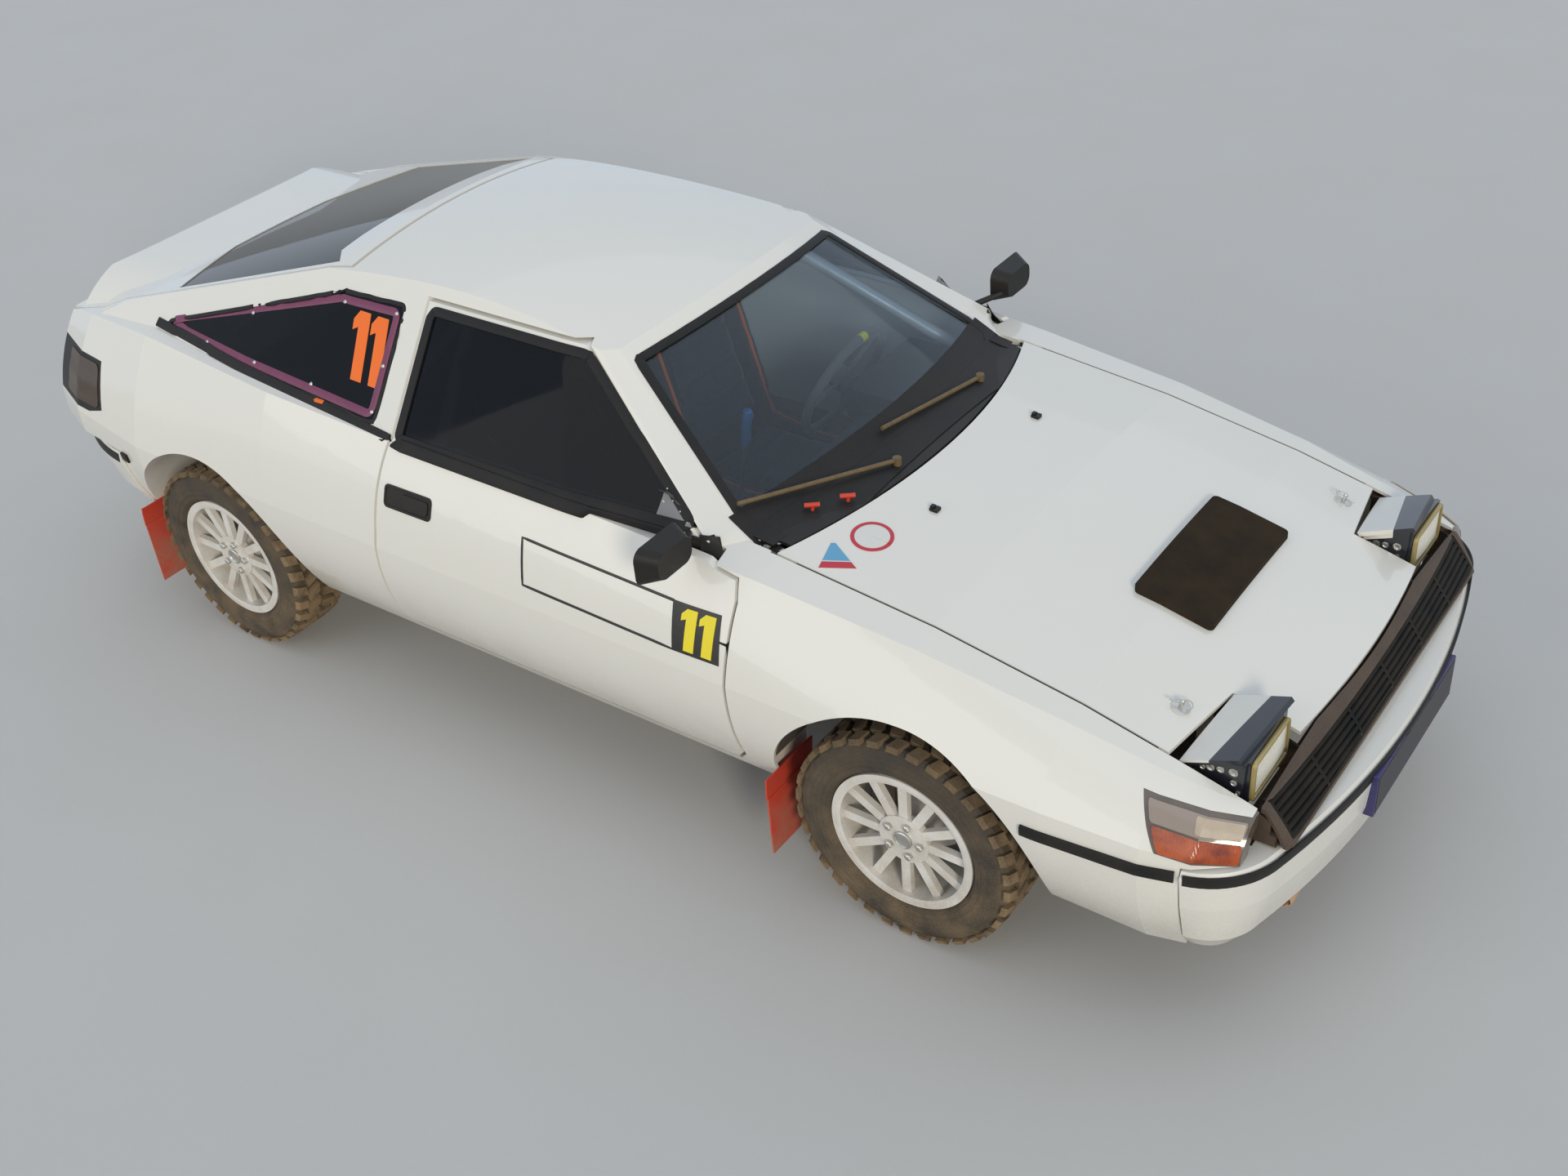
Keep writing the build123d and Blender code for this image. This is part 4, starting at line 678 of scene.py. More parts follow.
# %% Glass and lamp plastics
screen_glass = glass("windscreen glass", (0.50, 0.62, 0.74), dirt_amount=0.04, index=1.36)
side_glass = glass("dark side glass", (0.025, 0.032, 0.048), transmission=0.85, dirt_amount=0.05, index=1.22)
rear_glass = glass("hatch glass", (0.045, 0.036, 0.028), transmission=0.7, dirt_amount=0.06, index=1.25)
smoked_red = glass("smoked tail lamp", (0.09, 0.05, 0.028), 0.16, 0.35)
lens_glass = glass("ribbed lens", (0.86, 0.85, 0.78), 0.08, transmission=0.3)
clear_plastic = finish("clear lamp plastic", (0.30, 0.235, 0.19), 0.12, coat=1.0, scale=30)
bright_plastic = finish("ribbed lamp plastic", (0.62, 0.52, 0.40), 0.10, coat=1.0, amount=0.4,
                        scale=30)
lamp_frame = finish("smoky lamp frame", (0.085, 0.062, 0.045), 0.2, coat=0.8, scale=20)
amber_plastic = finish("amber lamp plastic", (0.62, 0.115, 0.006), 0.16, coat=0.6, amount=1.5,
                       scale=22, dust=(0.16, 0.014, 0.002, 1))
print("materials", len(bpy.data.materials))

# %% [markdown]
# ## Finishes of the solids
# The solids that stay visible have the right shape already and need a finish only. Their material slots
# are cleared and filled again, and their meshes are left as they are.

# %% Finish the solids
FINISHES = {
    white_paint: "body_shell fender_left fender_right hood door_left door_right hatch",
    lamp_paint: "headlamp_left headlamp_right",
    white_bumper: "front_bumper rear_bumper",
    black_plastic: "cowl_panel dashboard mirror_left mirror_right tail_lamps",
    grille_shade_black: "grille",
    suede: "steering_wheel",
    lamp_frame: "corner_lamps",
    wiper_brown: "wipers",
    brown_plastic: "nose_panel",
    scoop_black: "hood_scoop",
    dark_metal: "underbody front_suspension rear_suspension",
    cast_metal: "engine knuckle_left knuckle_right",
    bright_steel: "exhaust",
    cage_paint: "roll_cage",
    red_rubber: "mud_flaps",
    screen_glass: "windshield",
    side_glass: "door_glass_left door_glass_right quarter_windows",
    rear_glass: "hatch_glass",
    seat_cloth: "seats",
    wheel_white: "rim_front_left rim_front_right rim_rear_left rim_rear_right",
    tyre_rubber: "tyre_front_left tyre_front_right tyre_rear_left tyre_rear_right",
}
for material, names in FINISHES.items():
    for name in names.split():
        nodes[name].data.materials.clear()
        nodes[name].data.materials.append(material)
print("finished", sum(len(names.split()) for names in FINISHES.values()))

# %% [markdown]
# ## The windscreen rubber
# A black rubber holds the glass in its frame. It is drawn as a bowed outline seen from the front, with
# round corners, and cast backwards onto the glass and the pillars, so it lies half on each.

# %% Windscreen rubber
AHEAD_OF_SCREEN = 1.4
BOW = 0.028
screen_tree = tree_of("windshield", "body_shell", "cowl_panel")
t = np.linspace(-1, 1, 41)
low_edge = np.stack([t * 0.597, 0.954 - BOW * t**2], 1)
high_edge = np.stack([t[::-1] * 0.432, 1.255 - BOW * t**2], 1)
screen_outline = rounded_path(
    np.concatenate([low_edge[::4], high_edge[::4]]),
    [0.03 if i in (0, 10, 11, 21) else 0.0 for i in range(22)],
    0.03,
)
starts = np.column_stack([np.full(len(screen_outline), AHEAD_OF_SCREEN), screen_outline])
places, normals = cast(screen_tree, starts, (-1, 0, 0))
add("windscreen_rubber", "body", swept(places, bar_section(0.026, 0.006, 0.0025, -0.002), normals, True),
    black_rubber)
print("windscreen rubber", len(places))

# %% [markdown]
# ## The foot of the windscreen
# A black band runs across the foot of the glass from pillar to pillar, and small black sheets paint in the
# shade of the recessed corners where screen, hood and fender meet; they take the black rubber finish. The
# band has to follow the glass, so it is cast. The sheets bridge a step between panels, where rays would fall
# in, so they are plain sheets through four corners.

# %% Screen foot and painted shade in the corners
t, v = np.meshgrid(np.linspace(-1, 1, 61), np.linspace(0, 1, 6), indexing="ij")
foot = np.stack([np.full(t.shape, AHEAD_OF_SCREEN), t * (0.618 - 0.012 * v),
                 0.898 + 0.094 * v - 0.030 * t**2], -1)
add("screen_foot", "body", laid(*cast(screen_tree, foot, (-1, 0, 0), 0.85), 0.0025), black_rubber)
# Painted shade: black sheets laid over the shaded corners between screen, hood, fender and pillar
SHADE_SHEETS = [
    # name, body, direction inwards, corners (0, 0), (1, 0), (0, 1), (1, 1) on the left side
    ("cowl_end_shade", "body", (0, 0, -0.003),
     [(0.655, 0.552, 0.9370), (0.736, 0.552, 0.9235), (0.655, 0.602, 0.9290), (0.726, 0.600, 0.9180)]),
    ("hood_corner_shade", "hood_panel", (0, 0, -0.003),
     [(0.714, 0.578, 0.9070), (0.745, 0.584, 0.9075), (0.714, 0.606, 0.9060), (0.745, 0.606, 0.9060)]),
    ("pillar_foot_shade", "body", (0, -0.003, 0),
     [(0.582, 0.711, 0.9080), (0.642, 0.697, 0.9080), (0.579, 0.706, 0.9620), (0.618, 0.675, 0.9500)]),
]
u, v = (part[..., None] for part in unit_square((6, 6)))
for side, name in SIDES:
    for seal, body, inward, corners in SHADE_SHEETS:
        p00, p10, p01, p11 = np.array(corners) * (1, side, 1)
        face = (1 - u) * (1 - v) * p00 + u * (1 - v) * p10 + (1 - u) * v * p01 + u * v * p11
        # Each sheet is painted shade in the black rubber finish
        add(f"{seal}_{name}", body, shell_between(face, face + np.array(inward) * (1, side, 1)), black_rubber)
print("corner shade sheets", 2 * len(SHADE_SHEETS))

# %% [markdown]
# ## Rubbers and mouldings of the side
# A rubber runs round the door glass, and a moulding runs along the belt below it and on to the tail. They
# are outlines and straight lines in (x, z), cast onto the flank. Those of the doors ride on the doors.

# %% Door glass rubbers and belt mouldings
DOOR_GLASS = [(0.552, 0.960), (0.082, 1.236), (-0.490, 1.236), (-0.458, 0.960)]
for side, name in SIDES:
    door = f"door_{name}_side"
    tree = tree_of(f"door_{name}", f"door_glass_{name}", "body_shell")
    edge = rounded_path(DOOR_GLASS, [0.012, 0.09, 0.02, 0.015], 0.03)
    side_bar(f"door_glass_rubber_{name}", door, tree, edge, side,
             bar_section(0.028, 0.006, 0.002, -0.002), black_rubber, True)
    side_bar(f"belt_moulding_{name}", door, tree, np.linspace((0.600, 0.934), (-0.462, 0.950), 40),
             side, bar_section(0.036, 0.010, 0.004, -0.003), black_rubber)
    tree = tree_of("body_shell", "quarter_windows")
    side_bar(f"quarter_belt_{name}", "body", tree, np.linspace((-0.486, 0.952), (-1.620, 1.000), 50),
             side, bar_section(0.030, 0.008, 0.003, -0.003), black_rubber)
print("door rubbers")

# %% [markdown]
# ## The figure one
# The car carries the number eleven. A text object would bring a font; two slanted plates, a stem and a
# flag, make a one in the heavy style of racing numbers.


# %% Numerals
STEM = [(0, 0), (0.30, 0), (0.30, 1), (0, 1)]
FLAG = [(-0.15, 0.70), (0.002, 0.76), (0.002, 1.0), (-0.15, 0.86)]


def numeral(tree, side, foot, size, lift, lean=0.0):
    """The figure one, read from outside; foot is its lower corner (x, z), and lean shifts its top in x."""
    corner = (foot[0], side * FAR, foot[1])
    across, up = (-side * size, 0, 0), (lean, 0, size)
    stem = patch(tree, slanted(STEM), corner, across, up, (0, -side, 0), lift, steps=(3, 14))
    flag = patch(tree, slanted(FLAG), corner, across, up, (0, -side, 0), lift, steps=(3, 5))
    return joined(stem, flag)


# %% [markdown]
# ## The quarter windows
# Each is a plastic sheet screwed to the body, with a plum border, an orange number and an orange clip. The
# border follows the same five corners as the rubber, drawn in towards their middle.

# %% Quarter windows
QUARTER = np.array([(-0.566, 0.968), (-0.592, 1.228), (-0.838, 1.220), (-1.588, 1.006), (-1.500, 0.992)])
BORDER = QUARTER.mean(0) + (QUARTER - QUARTER.mean(0)) * (0.945, 0.86)
QUARTER_SCREWS = [(-0.590, 0.99), (-0.605, 1.09), (-0.618, 1.205), (-0.83, 1.195), (-0.86, 1.0), (-1.12, 1.0),
                  (-1.36, 1.0), (-1.2, 1.1)]
SCREW_HEAD = [(0.004, 0.0), (0.004, 0.004), (0.002, 0.006), (-0.002, 0.006)]
for side, name in SIDES:
    tree = tree_of("quarter_windows", "body_shell")
    edge = rounded_path(QUARTER, [0.02, 0.02, 0.03, 0.01, 0.02], 0.03)
    side_bar(f"quarter_rubber_{name}", "body", tree, edge, side,
             bar_section(0.014, 0.010, 0.003, -0.006), black_rubber, True)
    edge = rounded_path(BORDER, [0.02, 0.02, 0.03, 0.005, 0.01], 0.03)
    side_bar(f"quarter_border_{name}", "body", tree, edge, side,
             bar_section(0.024, 0.002, 0.0008, -0.0005), plum, True)
    add(f"quarter_screws_{name}", "body", studs(tree, QUARTER_SCREWS, side, SCREW_HEAD), zinc)
    for k in range(2):
        foot_x = -0.596 - 0.075 * k if side > 0 else -0.714 + 0.075 * k
        add(f"quarter_number_{name}_{k + 1}", "body",
            numeral(tree, side, (foot_x, 1.040), 0.148, 0.0012, -0.045), orange_vinyl)
    spot = on_side(tree, [(-0.80, 0.972)], side)[0][0]
    clip = box_mesh(spot + (-0.018, -0.006, -0.018), spot + (0.018, 0.006, 0.008))
    add(f"quarter_clip_{name}", "body", clip, orange_vinyl, bevel=0.002)
print("quarter windows")

# %% [markdown]
# ## Numbers on the doors
# A thin black outline with a black field at its front end holds the number in yellow. The outline is a
# swept line and not a frame cut from a plate, because a sweep keeps one width on a curved door.

# %% Door panels
OUTLINE_BOX = [(0.567, 0.694), (0.555, 0.814), (0.044, 0.836), (0.055, 0.712)]
FIELD = [(0.564, 0.692), (0.711, 0.694), (0.699, 0.815), (0.552, 0.816)]
for side, name in SIDES:
    tree = tree_of(f"door_{name}")
    door = f"door_{name}_side"
    side_bar(f"number_outline_{name}", door, tree, rounded_path(OUTLINE_BOX, [0, 0, 0, 0], 0.04),
             side, bar_section(0.008, 0.0018, 0.0006, -0.0008), black_vinyl, True)
    field = side_patch(tree, side, slanted(FIELD), (0, 0), (1, 1), 0.0016, steps=(24, 24))
    add(f"number_field_{name}", door, field, black_vinyl)
    for k in range(2):
        foot_x = 0.600 + 0.056 * k if side < 0 else 0.682 - 0.056 * k
        add(f"door_number_{name}_{k + 1}", door, numeral(tree, side, (foot_x, 0.702), 0.104, 0.0032), yellow)
print("door numbers")

# %% [markdown]
# ## Rub strips
# A black strip runs round both bumpers and back to the wheel arches. Its short runs on the fenders and the
# quarters are cast from the side.

# %% Strips on fenders and quarters
FLANK_STRIP = bar_section(0.032, 0.010, 0.004, -0.002)
for side, name in SIDES:
    side_bar(f"fender_strip_{name}", "body", tree_of(f"fender_{name}"),
             np.linspace((1.560, 0.556), (1.918, 0.548), 14), side, FLANK_STRIP, black_rubber)
    side_bar(f"quarter_strip_{name}", "body", tree_of("body_shell"),
             np.linspace((-1.690, 0.590), (-1.722, 0.590), 4), side, FLANK_STRIP, black_rubber)
print("flank strips")

# %% [markdown]
# ## Strips round the bumpers
# Round a bumper one direction can't reach the whole skin. So even points are spread on its plan, from one
# end round the corners to the other, and rays come in through them towards a line inside the bumper.


# %% Strips round the bumpers
def around(end_x, corner_x, corner_y, side_x, side_y, count=90):
    """Even points (x, y) on a bumper's plan: a line from one side end round the corners to the other."""
    half = [(corner_x, corner_y), (side_x, side_y)]
    plan = np.array([(x, -y) for x, y in half[::-1]] + [(end_x, 0)] + half)
    place = np.concatenate([[0], np.cumsum(np.linalg.norm(np.diff(plan, axis=0), axis=1))])
    wanted = np.linspace(0, place[-1], count)
    return np.stack([np.interp(wanted, place, plan[:, k]) for k in range(2)], 1)


def wrapped_strip(node, centre_x, plan, z, section):
    """A strip round a bumper: rays come in towards a line inside it, and meet the skin from outside."""
    tree = tree_of(node)
    places, normals = [], []
    for x, y in around(*plan):
        origin = np.array([centre_x, y * 0.55, z])
        outward = np.array([x, y, z]) - origin
        outward /= np.linalg.norm(outward)
        start = Vector(origin + outward * 1.2)
        hit, out, _, _ = tree.ray_cast(start, Vector(-outward))
        if hit is not None:
            places.append(hit)
            normals.append(out if out.dot(Vector(outward)) > 0 else -out)
    return swept(np.array(places), section, np.array(normals))


BUMPER_STRIP = bar_section(0.034, 0.006, 0.002, -0.0055)
front = wrapped_strip("front_bumper", 1.75, (2.18, 2.09, 0.645, 1.940, 0.80), 0.545, BUMPER_STRIP)
add("front_bumper_strip", "body", front, black_rubber)
rear = wrapped_strip("rear_bumper", -1.70, (-2.18, -2.085, 0.69, -1.745, 0.835), 0.575, BUMPER_STRIP)
add("rear_bumper_strip", "body", rear, black_rubber)
print("bumper strips")

# %% [markdown]
# ## Plates and tow strap
# The plates are bare, the front one in a dark blue holder. Blocks will do for them. The strap is a short
# flat loop under the bumper, swept along a rounded path.

# %% Plates and strap
add("plate_holder", "body", box_mesh((2.150, -0.266, 0.424), (2.1812, 0.266, 0.549)), plate_blue, bevel=0.002)
add("plate", "body", box_mesh((2.1810, -0.258, 0.431), (2.1822, 0.258, 0.541)), plate_dark)
add("rear_plate", "body", box_mesh((-2.1822, -0.26, 0.440), (-2.160, 0.26, 0.550)), white_vinyl, bevel=0.001)
STRAP_Y = -0.470
STRAP = [(2.040, 0.345), (2.075, 0.318), (2.088, 0.288), (2.070, 0.268), (2.045, 0.272)]
loop = rounded_path(STRAP, [0.0, 0.02, 0.015, 0.012, 0.0], 0.004, closed=False)
path = np.column_stack([loop[:, 0], np.full(len(loop), STRAP_Y), loop[:, 1]])
add("tow_strap", "body", swept(path, bar_section(0.052, 0.004, 0.001), (0.6, 0, 0.8)), strap_cloth)
print("plates")

# %% [markdown]
# ## Hood pins and nozzles
# Two pins with sprung clips hold the hood down, and two nozzles wash the screen. Each pin is a washer, a
# post, a ring and an arm, joined into one piece and set along the normal of the hood.


# %% Hood pins and nozzles
hood_tree = tree_of("hood")


def hood_pin(side):
    """Washer, post, clip ring and arm: C(t) = c + 0.013 (u cos t + v sin t), with u and v in the hood."""
    spot, out = (part[0] for part in cast(hood_tree, np.array([[1.779, side * 0.490, 1.2]]), (0, 0, -1)))
    washer = [(-0.001, 0.0), (0.003, 0.0), (0.003, 0.021), (0.001, 0.024), (-0.001, 0.024)]
    post = [(0.0, 0.0055), (0.022, 0.0055), (0.026, 0.003), (0.027, 0.0)]
    t = np.linspace(0, 2 * pi, 25)[:-1, None]
    u = np.cross(out, (0.3, side, 0.0))
    u /= np.linalg.norm(u)
    v = np.cross(out, u)
    height = spot + out * 0.016
    ring = height + u * 0.012 + 0.013 * (np.cos(t) * u + np.sin(t) * v)
    arm = np.array([height - u * 0.03, height + u * 0.002])
    return joined(lathe(washer, spot, out, 28, False), lathe(post, spot, out, 14, False),
                  swept(ring, round_section(0.0018, 8), out, True), swept(arm, round_section(0.0022, 8), out))


def nozzle(side):
    """Two blocks, one on the other."""
    spot = cast(hood_tree, np.array([[0.990, side * 0.263, 1.2]]), (0, 0, -1))[0][0]
    return joined(box_mesh(spot + (-0.012, -0.011, -0.001), spot + (0.012, 0.011, 0.008)),
                  box_mesh(spot + (-0.012, -0.007, 0.008), spot + (0.0, 0.007, 0.013)))


for side, name in SIDES:
    add(f"hood_pin_{name}", "hood_panel", hood_pin(side), zinc)
    add(f"washer_nozzle_{name}", "hood_panel", nozzle(side), black_plastic, bevel=0.0015)
print("hood pins")

# %% [markdown]
# ## Painted shade in the hood gaps
# The gap beside the hood is dark because it is deep. A black strip just below the paint paints that shade in
# as a line; it takes the black rubber finish. Rays sent into the gap would fall through, so its height is
# taken from the hood beside it.

# %% Painted shade in the hood gaps
HOOD_EDGE_Y, SEAM_Y = 0.610, 0.6238
for side, name in SIDES:
    run = np.linspace((0.812, side * HOOD_EDGE_Y, 1.3), (1.790, side * HOOD_EDGE_Y, 1.3), 70)
    places, _ = cast(hood_tree, run, (0, 0, -1))
    places[:, 1] = side * SEAM_Y
    # Painted shade: a black strip set into the gap beside the hood
    gap_shade = swept(places, bar_section(0.005, 0.006, 0.001, -0.009), (0, 0, 1))
    add(f"hood_gap_shade_{name}", "body", gap_shade, black_rubber)
print("hood gap shade")

# %% [markdown]
# ## Signs and pulls
# A ring and a triangle on the hood point at the two red pulls below the screen. The ring is a table of
# points in radius and angle; the triangle is cut into bands between two heights.


# %% Signs
def ring_sign(tree, centre, outer, inner, lift):
    """A flat ring cast down onto the hood: P = centre + r (cos t, sin t), r in inner..outer."""
    t = np.arange(49) * 2 * pi / 48
    r = np.array([inner, outer])
    starts = np.stack([
        centre[0] + r[None, :] * np.cos(t)[:, None],
        centre[1] + r[None, :] * np.sin(t)[:, None],
        np.full((49, 2), 1.3),
    ], -1)
    return laid(*cast(tree, starts, (0, 0, -1)), lift)


def sign_part(low, high, lift):
    """A band of the triangle between two heights, as fractions from its base to its apex."""
    a, b = BASE_A + low * (APEX - BASE_A), BASE_B + low * (APEX - BASE_B)
    c, d = BASE_A + high * (APEX - BASE_A), BASE_B + high * (APEX - BASE_B)
    corners = [tuple(q - BASE_A) for q in (a, b, d, c)]
    return patch(hood_tree, slanted(corners), (*BASE_A, 1.3), (1, 0, 0), (0, 1, 0), (0, 0, -1), lift,
                 steps=(5, 7))


RING_CENTRE = (0.915, -0.440)
BASE_A, BASE_B, APEX = np.array((0.868, -0.612)), np.array((0.950, -0.562)), np.array((0.840, -0.505))
add("round_sign_face", "hood_panel", ring_sign(hood_tree, RING_CENTRE, 0.047, 0.001, 0.0010), white_vinyl)
add("round_sign", "hood_panel", ring_sign(hood_tree, RING_CENTRE, 0.055, 0.045, 0.0016), red_vinyl)
add("triangle_sign", "hood_panel", sign_part(0.0, 0.98, 0.0010), white_vinyl)
add("triangle_sign_field", "hood_panel", sign_part(0.28, 0.88, 0.0016), blue_vinyl)
add("triangle_sign_foot", "hood_panel", sign_part(0.03, 0.24, 0.0016), red_vinyl)
print("signs")

# %% [markdown]
# ## Red pulls
# Two red pulls stand below the screen, where a marshal can reach them. Each is a short stalk with a bar
# across its end, set on the cowl by a ray from above.

# %% Red pulls
cowl_tree = tree_of("cowl_panel", "body_shell")
for k, (x, y) in enumerate(((0.735, -0.440), (0.790, -0.360))):
    foot = cast(cowl_tree, np.array([[x, y, 1.4]]), (0, 0, -1))[0][0]
    stalk = np.array([foot, foot + (0.002, 0, 0.014)])
    bar = foot + np.array([(-0.016, -0.012, 0.018), (0.016, 0.012, 0.018)])
    pull = joined(swept(stalk, round_section(0.005, 10), (1, 0, 0)),
                  swept(bar, round_section(0.0065, 10), (0, 0, 1)))
    add(f"red_pull_{k + 1}", "body", pull, red_rubber)
print("pulls")

# %% [markdown]
# ## Two colours on the lamp lids
# The top of each lid is white up to a slanting line; its front strip and all below the lid are black. The
# mesh could be cut there. A mask worked out from the place of each point does it without touching the
# solid: both limits are straight planes, so two comparisons are enough.

# %% Paint of the lamp lids
tree = lamp_paint.node_tree
place = tree.nodes.new("ShaderNodeSeparateXYZ")
tree.links.new(tree.nodes.new("ShaderNodeTexCoord").outputs["Object"], place.inputs[0])
x, y, z = place.outputs
sweep_back = math_node(tree, "MULTIPLY", math_node(tree, "ABSOLUTE", y), 0.196)
front_strip = math_node(tree, "GREATER_THAN", math_node(tree, "ADD", x, sweep_back), 2.024)
rise, run = math_node(tree, "MULTIPLY", z, 0.93), math_node(tree, "MULTIPLY", x, 0.37)
lid_plane = math_node(tree, "SUBTRACT", rise, run)
below_lid = math_node(tree, "LESS_THAN", lid_plane, -0.021)
black_zone = math_node(tree, "MAXIMUM", front_strip, below_lid)
paint = next(n for n in tree.nodes if n.bl_idname == "ShaderNodeGroup")
lid_colour = mix_colour(tree, black_zone, paint.outputs["Color"], (0.012, 0.013, 0.02, 1))
tree.links.new(lid_colour, tree.nodes["Principled BSDF"].inputs["Base Color"])
print("lid nodes", len(tree.nodes))

# %% [markdown]
# ## Headlamp lenses
# Behind each lid stands a wide lens with upright ribs, in a yellowed frame between two holed brackets. The
# ribs are real waves on a bulged surface, so they break up the reflections as moulded glass does.


# %% Headlamps
LENS_Y, LENS_Z, LENS_X = 0.5, 0.706, 2.0005
FRAME_EDGE = [(0.407, 0.654), (0.593, 0.654), (0.593, 0.758), (0.407, 0.758)]
BRACKET_SCREWS = [(1.890, 0.716, 0.007), (1.908, 0.722, 0.010), (1.932, 0.726, 0.009), (1.962, 0.730, 0.011),
                  (1.964, 0.700, 0.008), (1.975, 0.675, 0.006)]


def ribbed_lens(side):
    """x = bulge (1 - dy^2)(1 - dz^2) + ribs cos(2 pi y / pitch), over a flat back."""
    y, z = np.meshgrid(np.linspace(0.412, 0.588, 57), np.linspace(0.660, 0.752, 9), indexing="ij")
    bulge = 0.010 * (1 - ((y - LENS_Y) / 0.09) ** 2) * (1 - ((z - LENS_Z) / 0.048) ** 2)
    ribs = 0.0012 * np.cos(y * 2 * pi / 0.0125)
    front = np.stack([LENS_X + bulge + ribs, side * y, z], -1)
    back = np.stack([np.full(y.shape, LENS_X - 0.003), side * y, z], -1)
    return shell_between(front, back)


def bracket_screws(side, tree):
    """Screw heads (x, z, radius) on both flanks of a lamp, where a ray from beside it meets a bracket."""
    heads = []
    for x, z, radius in BRACKET_SCREWS:
        head = [(0.0, radius), (0.0025, radius), (0.003, radius * 0.7), (0.0015, radius * 0.5), (0.0015, 0.0)]
        for way in (-side, side):
            spot = tree.ray_cast(Vector((x, side * LENS_Y - way * 0.4, z)), Vector((0, way, 0)), 0.35)[0]
            if spot is not None:
                heads.append(lathe(head, spot, (0, -way, 0), 12, False))
    return joined(*heads)


for side, name in SIDES:
    add(f"lens_{name}", f"lamp_{name}", ribbed_lens(side), lens_glass)
    edge = rounded_path(FRAME_EDGE, [0.012] * 4, 0.02)
    path = np.column_stack([np.full(len(edge), 1.996), side * edge[:, 0], edge[:, 1]])
    add(f"lens_frame_{name}", f"lamp_{name}", swept(path, bar_section(0.010, 0.012, 0.003), (1, 0, 0), True),
        lamp_yellow)
    add(f"lamp_screws_{name}", f"lamp_{name}", bracket_screws(side, tree_of(f"headlamp_{name}")), zinc)
print("headlamps")

# %% [markdown]
# ## Corner lamps
# A smoky brown frame holds a clear lens above, brighter and ribbed at its front, and an orange one below.
# All three are parts of one slanted outline, given as fractions of it, and are cast onto the frame.


# %% Corner lamps
CORNER_FRAME = [(1.872, 0.602), (2.036, 0.572), (2.036, 0.662), (1.804, 0.704)]
CORNER_LENSES = [
    # name, finish, left, right, low, high, lift, height of the ribs
    ("clear", clear_plastic, 0.05, 0.97, 0.56, 0.91, 0.0030, 0.0),
    ("ribbed", bright_plastic, 0.52, 0.955, 0.60, 0.88, 0.0042, 0.0005),
    ("orange", amber_plastic, 0.05, 0.98, 0.05, 0.52, 0.0035, 0.0005),
]


def corner_lens(tree, side, left, right, low, high, lift, ribs):
    """A plate cast aslant onto the lamp, with forty ribs: lift + ribs cos(2 pi 40 u)."""
    u, v = unit_square((81, 11))
    round_u, round_v = rounded(0.02, 0.2)(u, v)
    run = slanted(CORNER_FRAME)(left + round_u * (right - left), low + round_v * (high - low))
    return laid(*on_side(tree, np.stack(run, -1), side), lift + ribs * np.cos(u * 2 * pi * 40))


corner_tree = tree_of("corner_lamps")
for side, name in SIDES:
    for lens, material, *place in CORNER_LENSES:
        add(f"corner_lens_{lens}_{name}", "body", corner_lens(corner_tree, side, *place), material)
print("corner lamps")

# %% [markdown]
# ## Tail lamps
# A smoked lens wraps each rear corner, with shallow level ribs, and a ribbed black panel fills the space
# between the lamps.

# %% Tail lamps
tail_tree = tree_of("tail_lamps")
u, v = rounded(0.06, 0.12)(*unit_square((21, 17)))
REAR_X, FRONT_X, SLANT, LOW_Z, TALL = -2.040, -1.822, 0.018, 0.722, 0.126
run = np.stack([REAR_X + u * (FRONT_X - SLANT * v - REAR_X), LOW_Z + TALL * v], -1)
for side, name in SIDES:
    add(f"tail_lens_{name}", "body",
        laid(*on_side(tail_tree, run, side), 0.0025 + 0.0007 * np.cos(v * 2 * pi * 14)), smoked_red)
y, v = np.meshgrid(np.linspace(-0.356, 0.356, 25), np.linspace(0, 1, 81), indexing="ij")
garnish = np.stack([-2.1153 + 0.0012 * np.cos(v * 2 * pi * 10), y, 0.7025 + 0.1580 * v], -1)
add("tail_garnish", "body", shell_between(garnish, garnish + np.array([0.012, 0, 0])), black_plastic)
print("tail lamps")

# %% [markdown]
# ## Door handles
# A flush handle has a base plate, a rim round it and a flap to pull. All three follow the door.


# %% Door handles
HANDLE_X, HANDLE_Z, HANDLE_LONG, HANDLE_HIGH = -0.468, 0.790, 0.174, 0.056
handle_far = (HANDLE_X + HANDLE_LONG, HANDLE_Z + HANDLE_HIGH)
HANDLE_EDGE = [(HANDLE_X, HANDLE_Z), (handle_far[0], HANDLE_Z), handle_far, (HANDLE_X, handle_far[1])]


def door_handle(side, name):
    """Base plate, rim and flap of one handle, laid on its door."""
    tree = tree_of(f"door_{name}")
    door = f"door_{name}_side"
    base = side_patch(tree, side, rounded(0.05, 0.18), HANDLE_EDGE[0], (HANDLE_LONG, HANDLE_HIGH), 0.0015,
                      steps=(16, 9))
    add(f"handle_base_{name}", door, base, black_plastic)
    side_bar(f"handle_rim_{name}", door, tree, rounded_path(HANDLE_EDGE, [0.012] * 4, 0.03), side,
             bar_section(0.008, 0.005, 0.002, -0.001), black_plastic, True)
    flap = side_patch(tree, side, rounded(0.05, 0.2), (-0.402, 0.799), (0.100, 0.037), 0.0055, 0.0, (9, 6))
    add(f"handle_flap_{name}", door, flap, black_plastic, bevel=0.001)

# %% [markdown]
# ## Mirror plates
# A riveted grey plate fills the front corner of each door glass, where the mirror's arm goes through. The
# pieces of both doors are made here, first those of the right one.


# %% Mirror plates
CORNER_PLATE = [(0.0, 0.0), (1.0, 0.0), (0.14, 0.92), (0.0, 1.0)]
RIVETS = [(0.438, 0.968), (0.438, 0.995), (0.438, 1.020), (0.465, 1.000), (0.495, 0.984), (0.526, 0.967),
          (0.480, 0.967)]
RIVET_HEAD = [(0.0035, 0.0), (0.0045, 0.002), (0.0025, 0.004), (0.0, 0.004)]


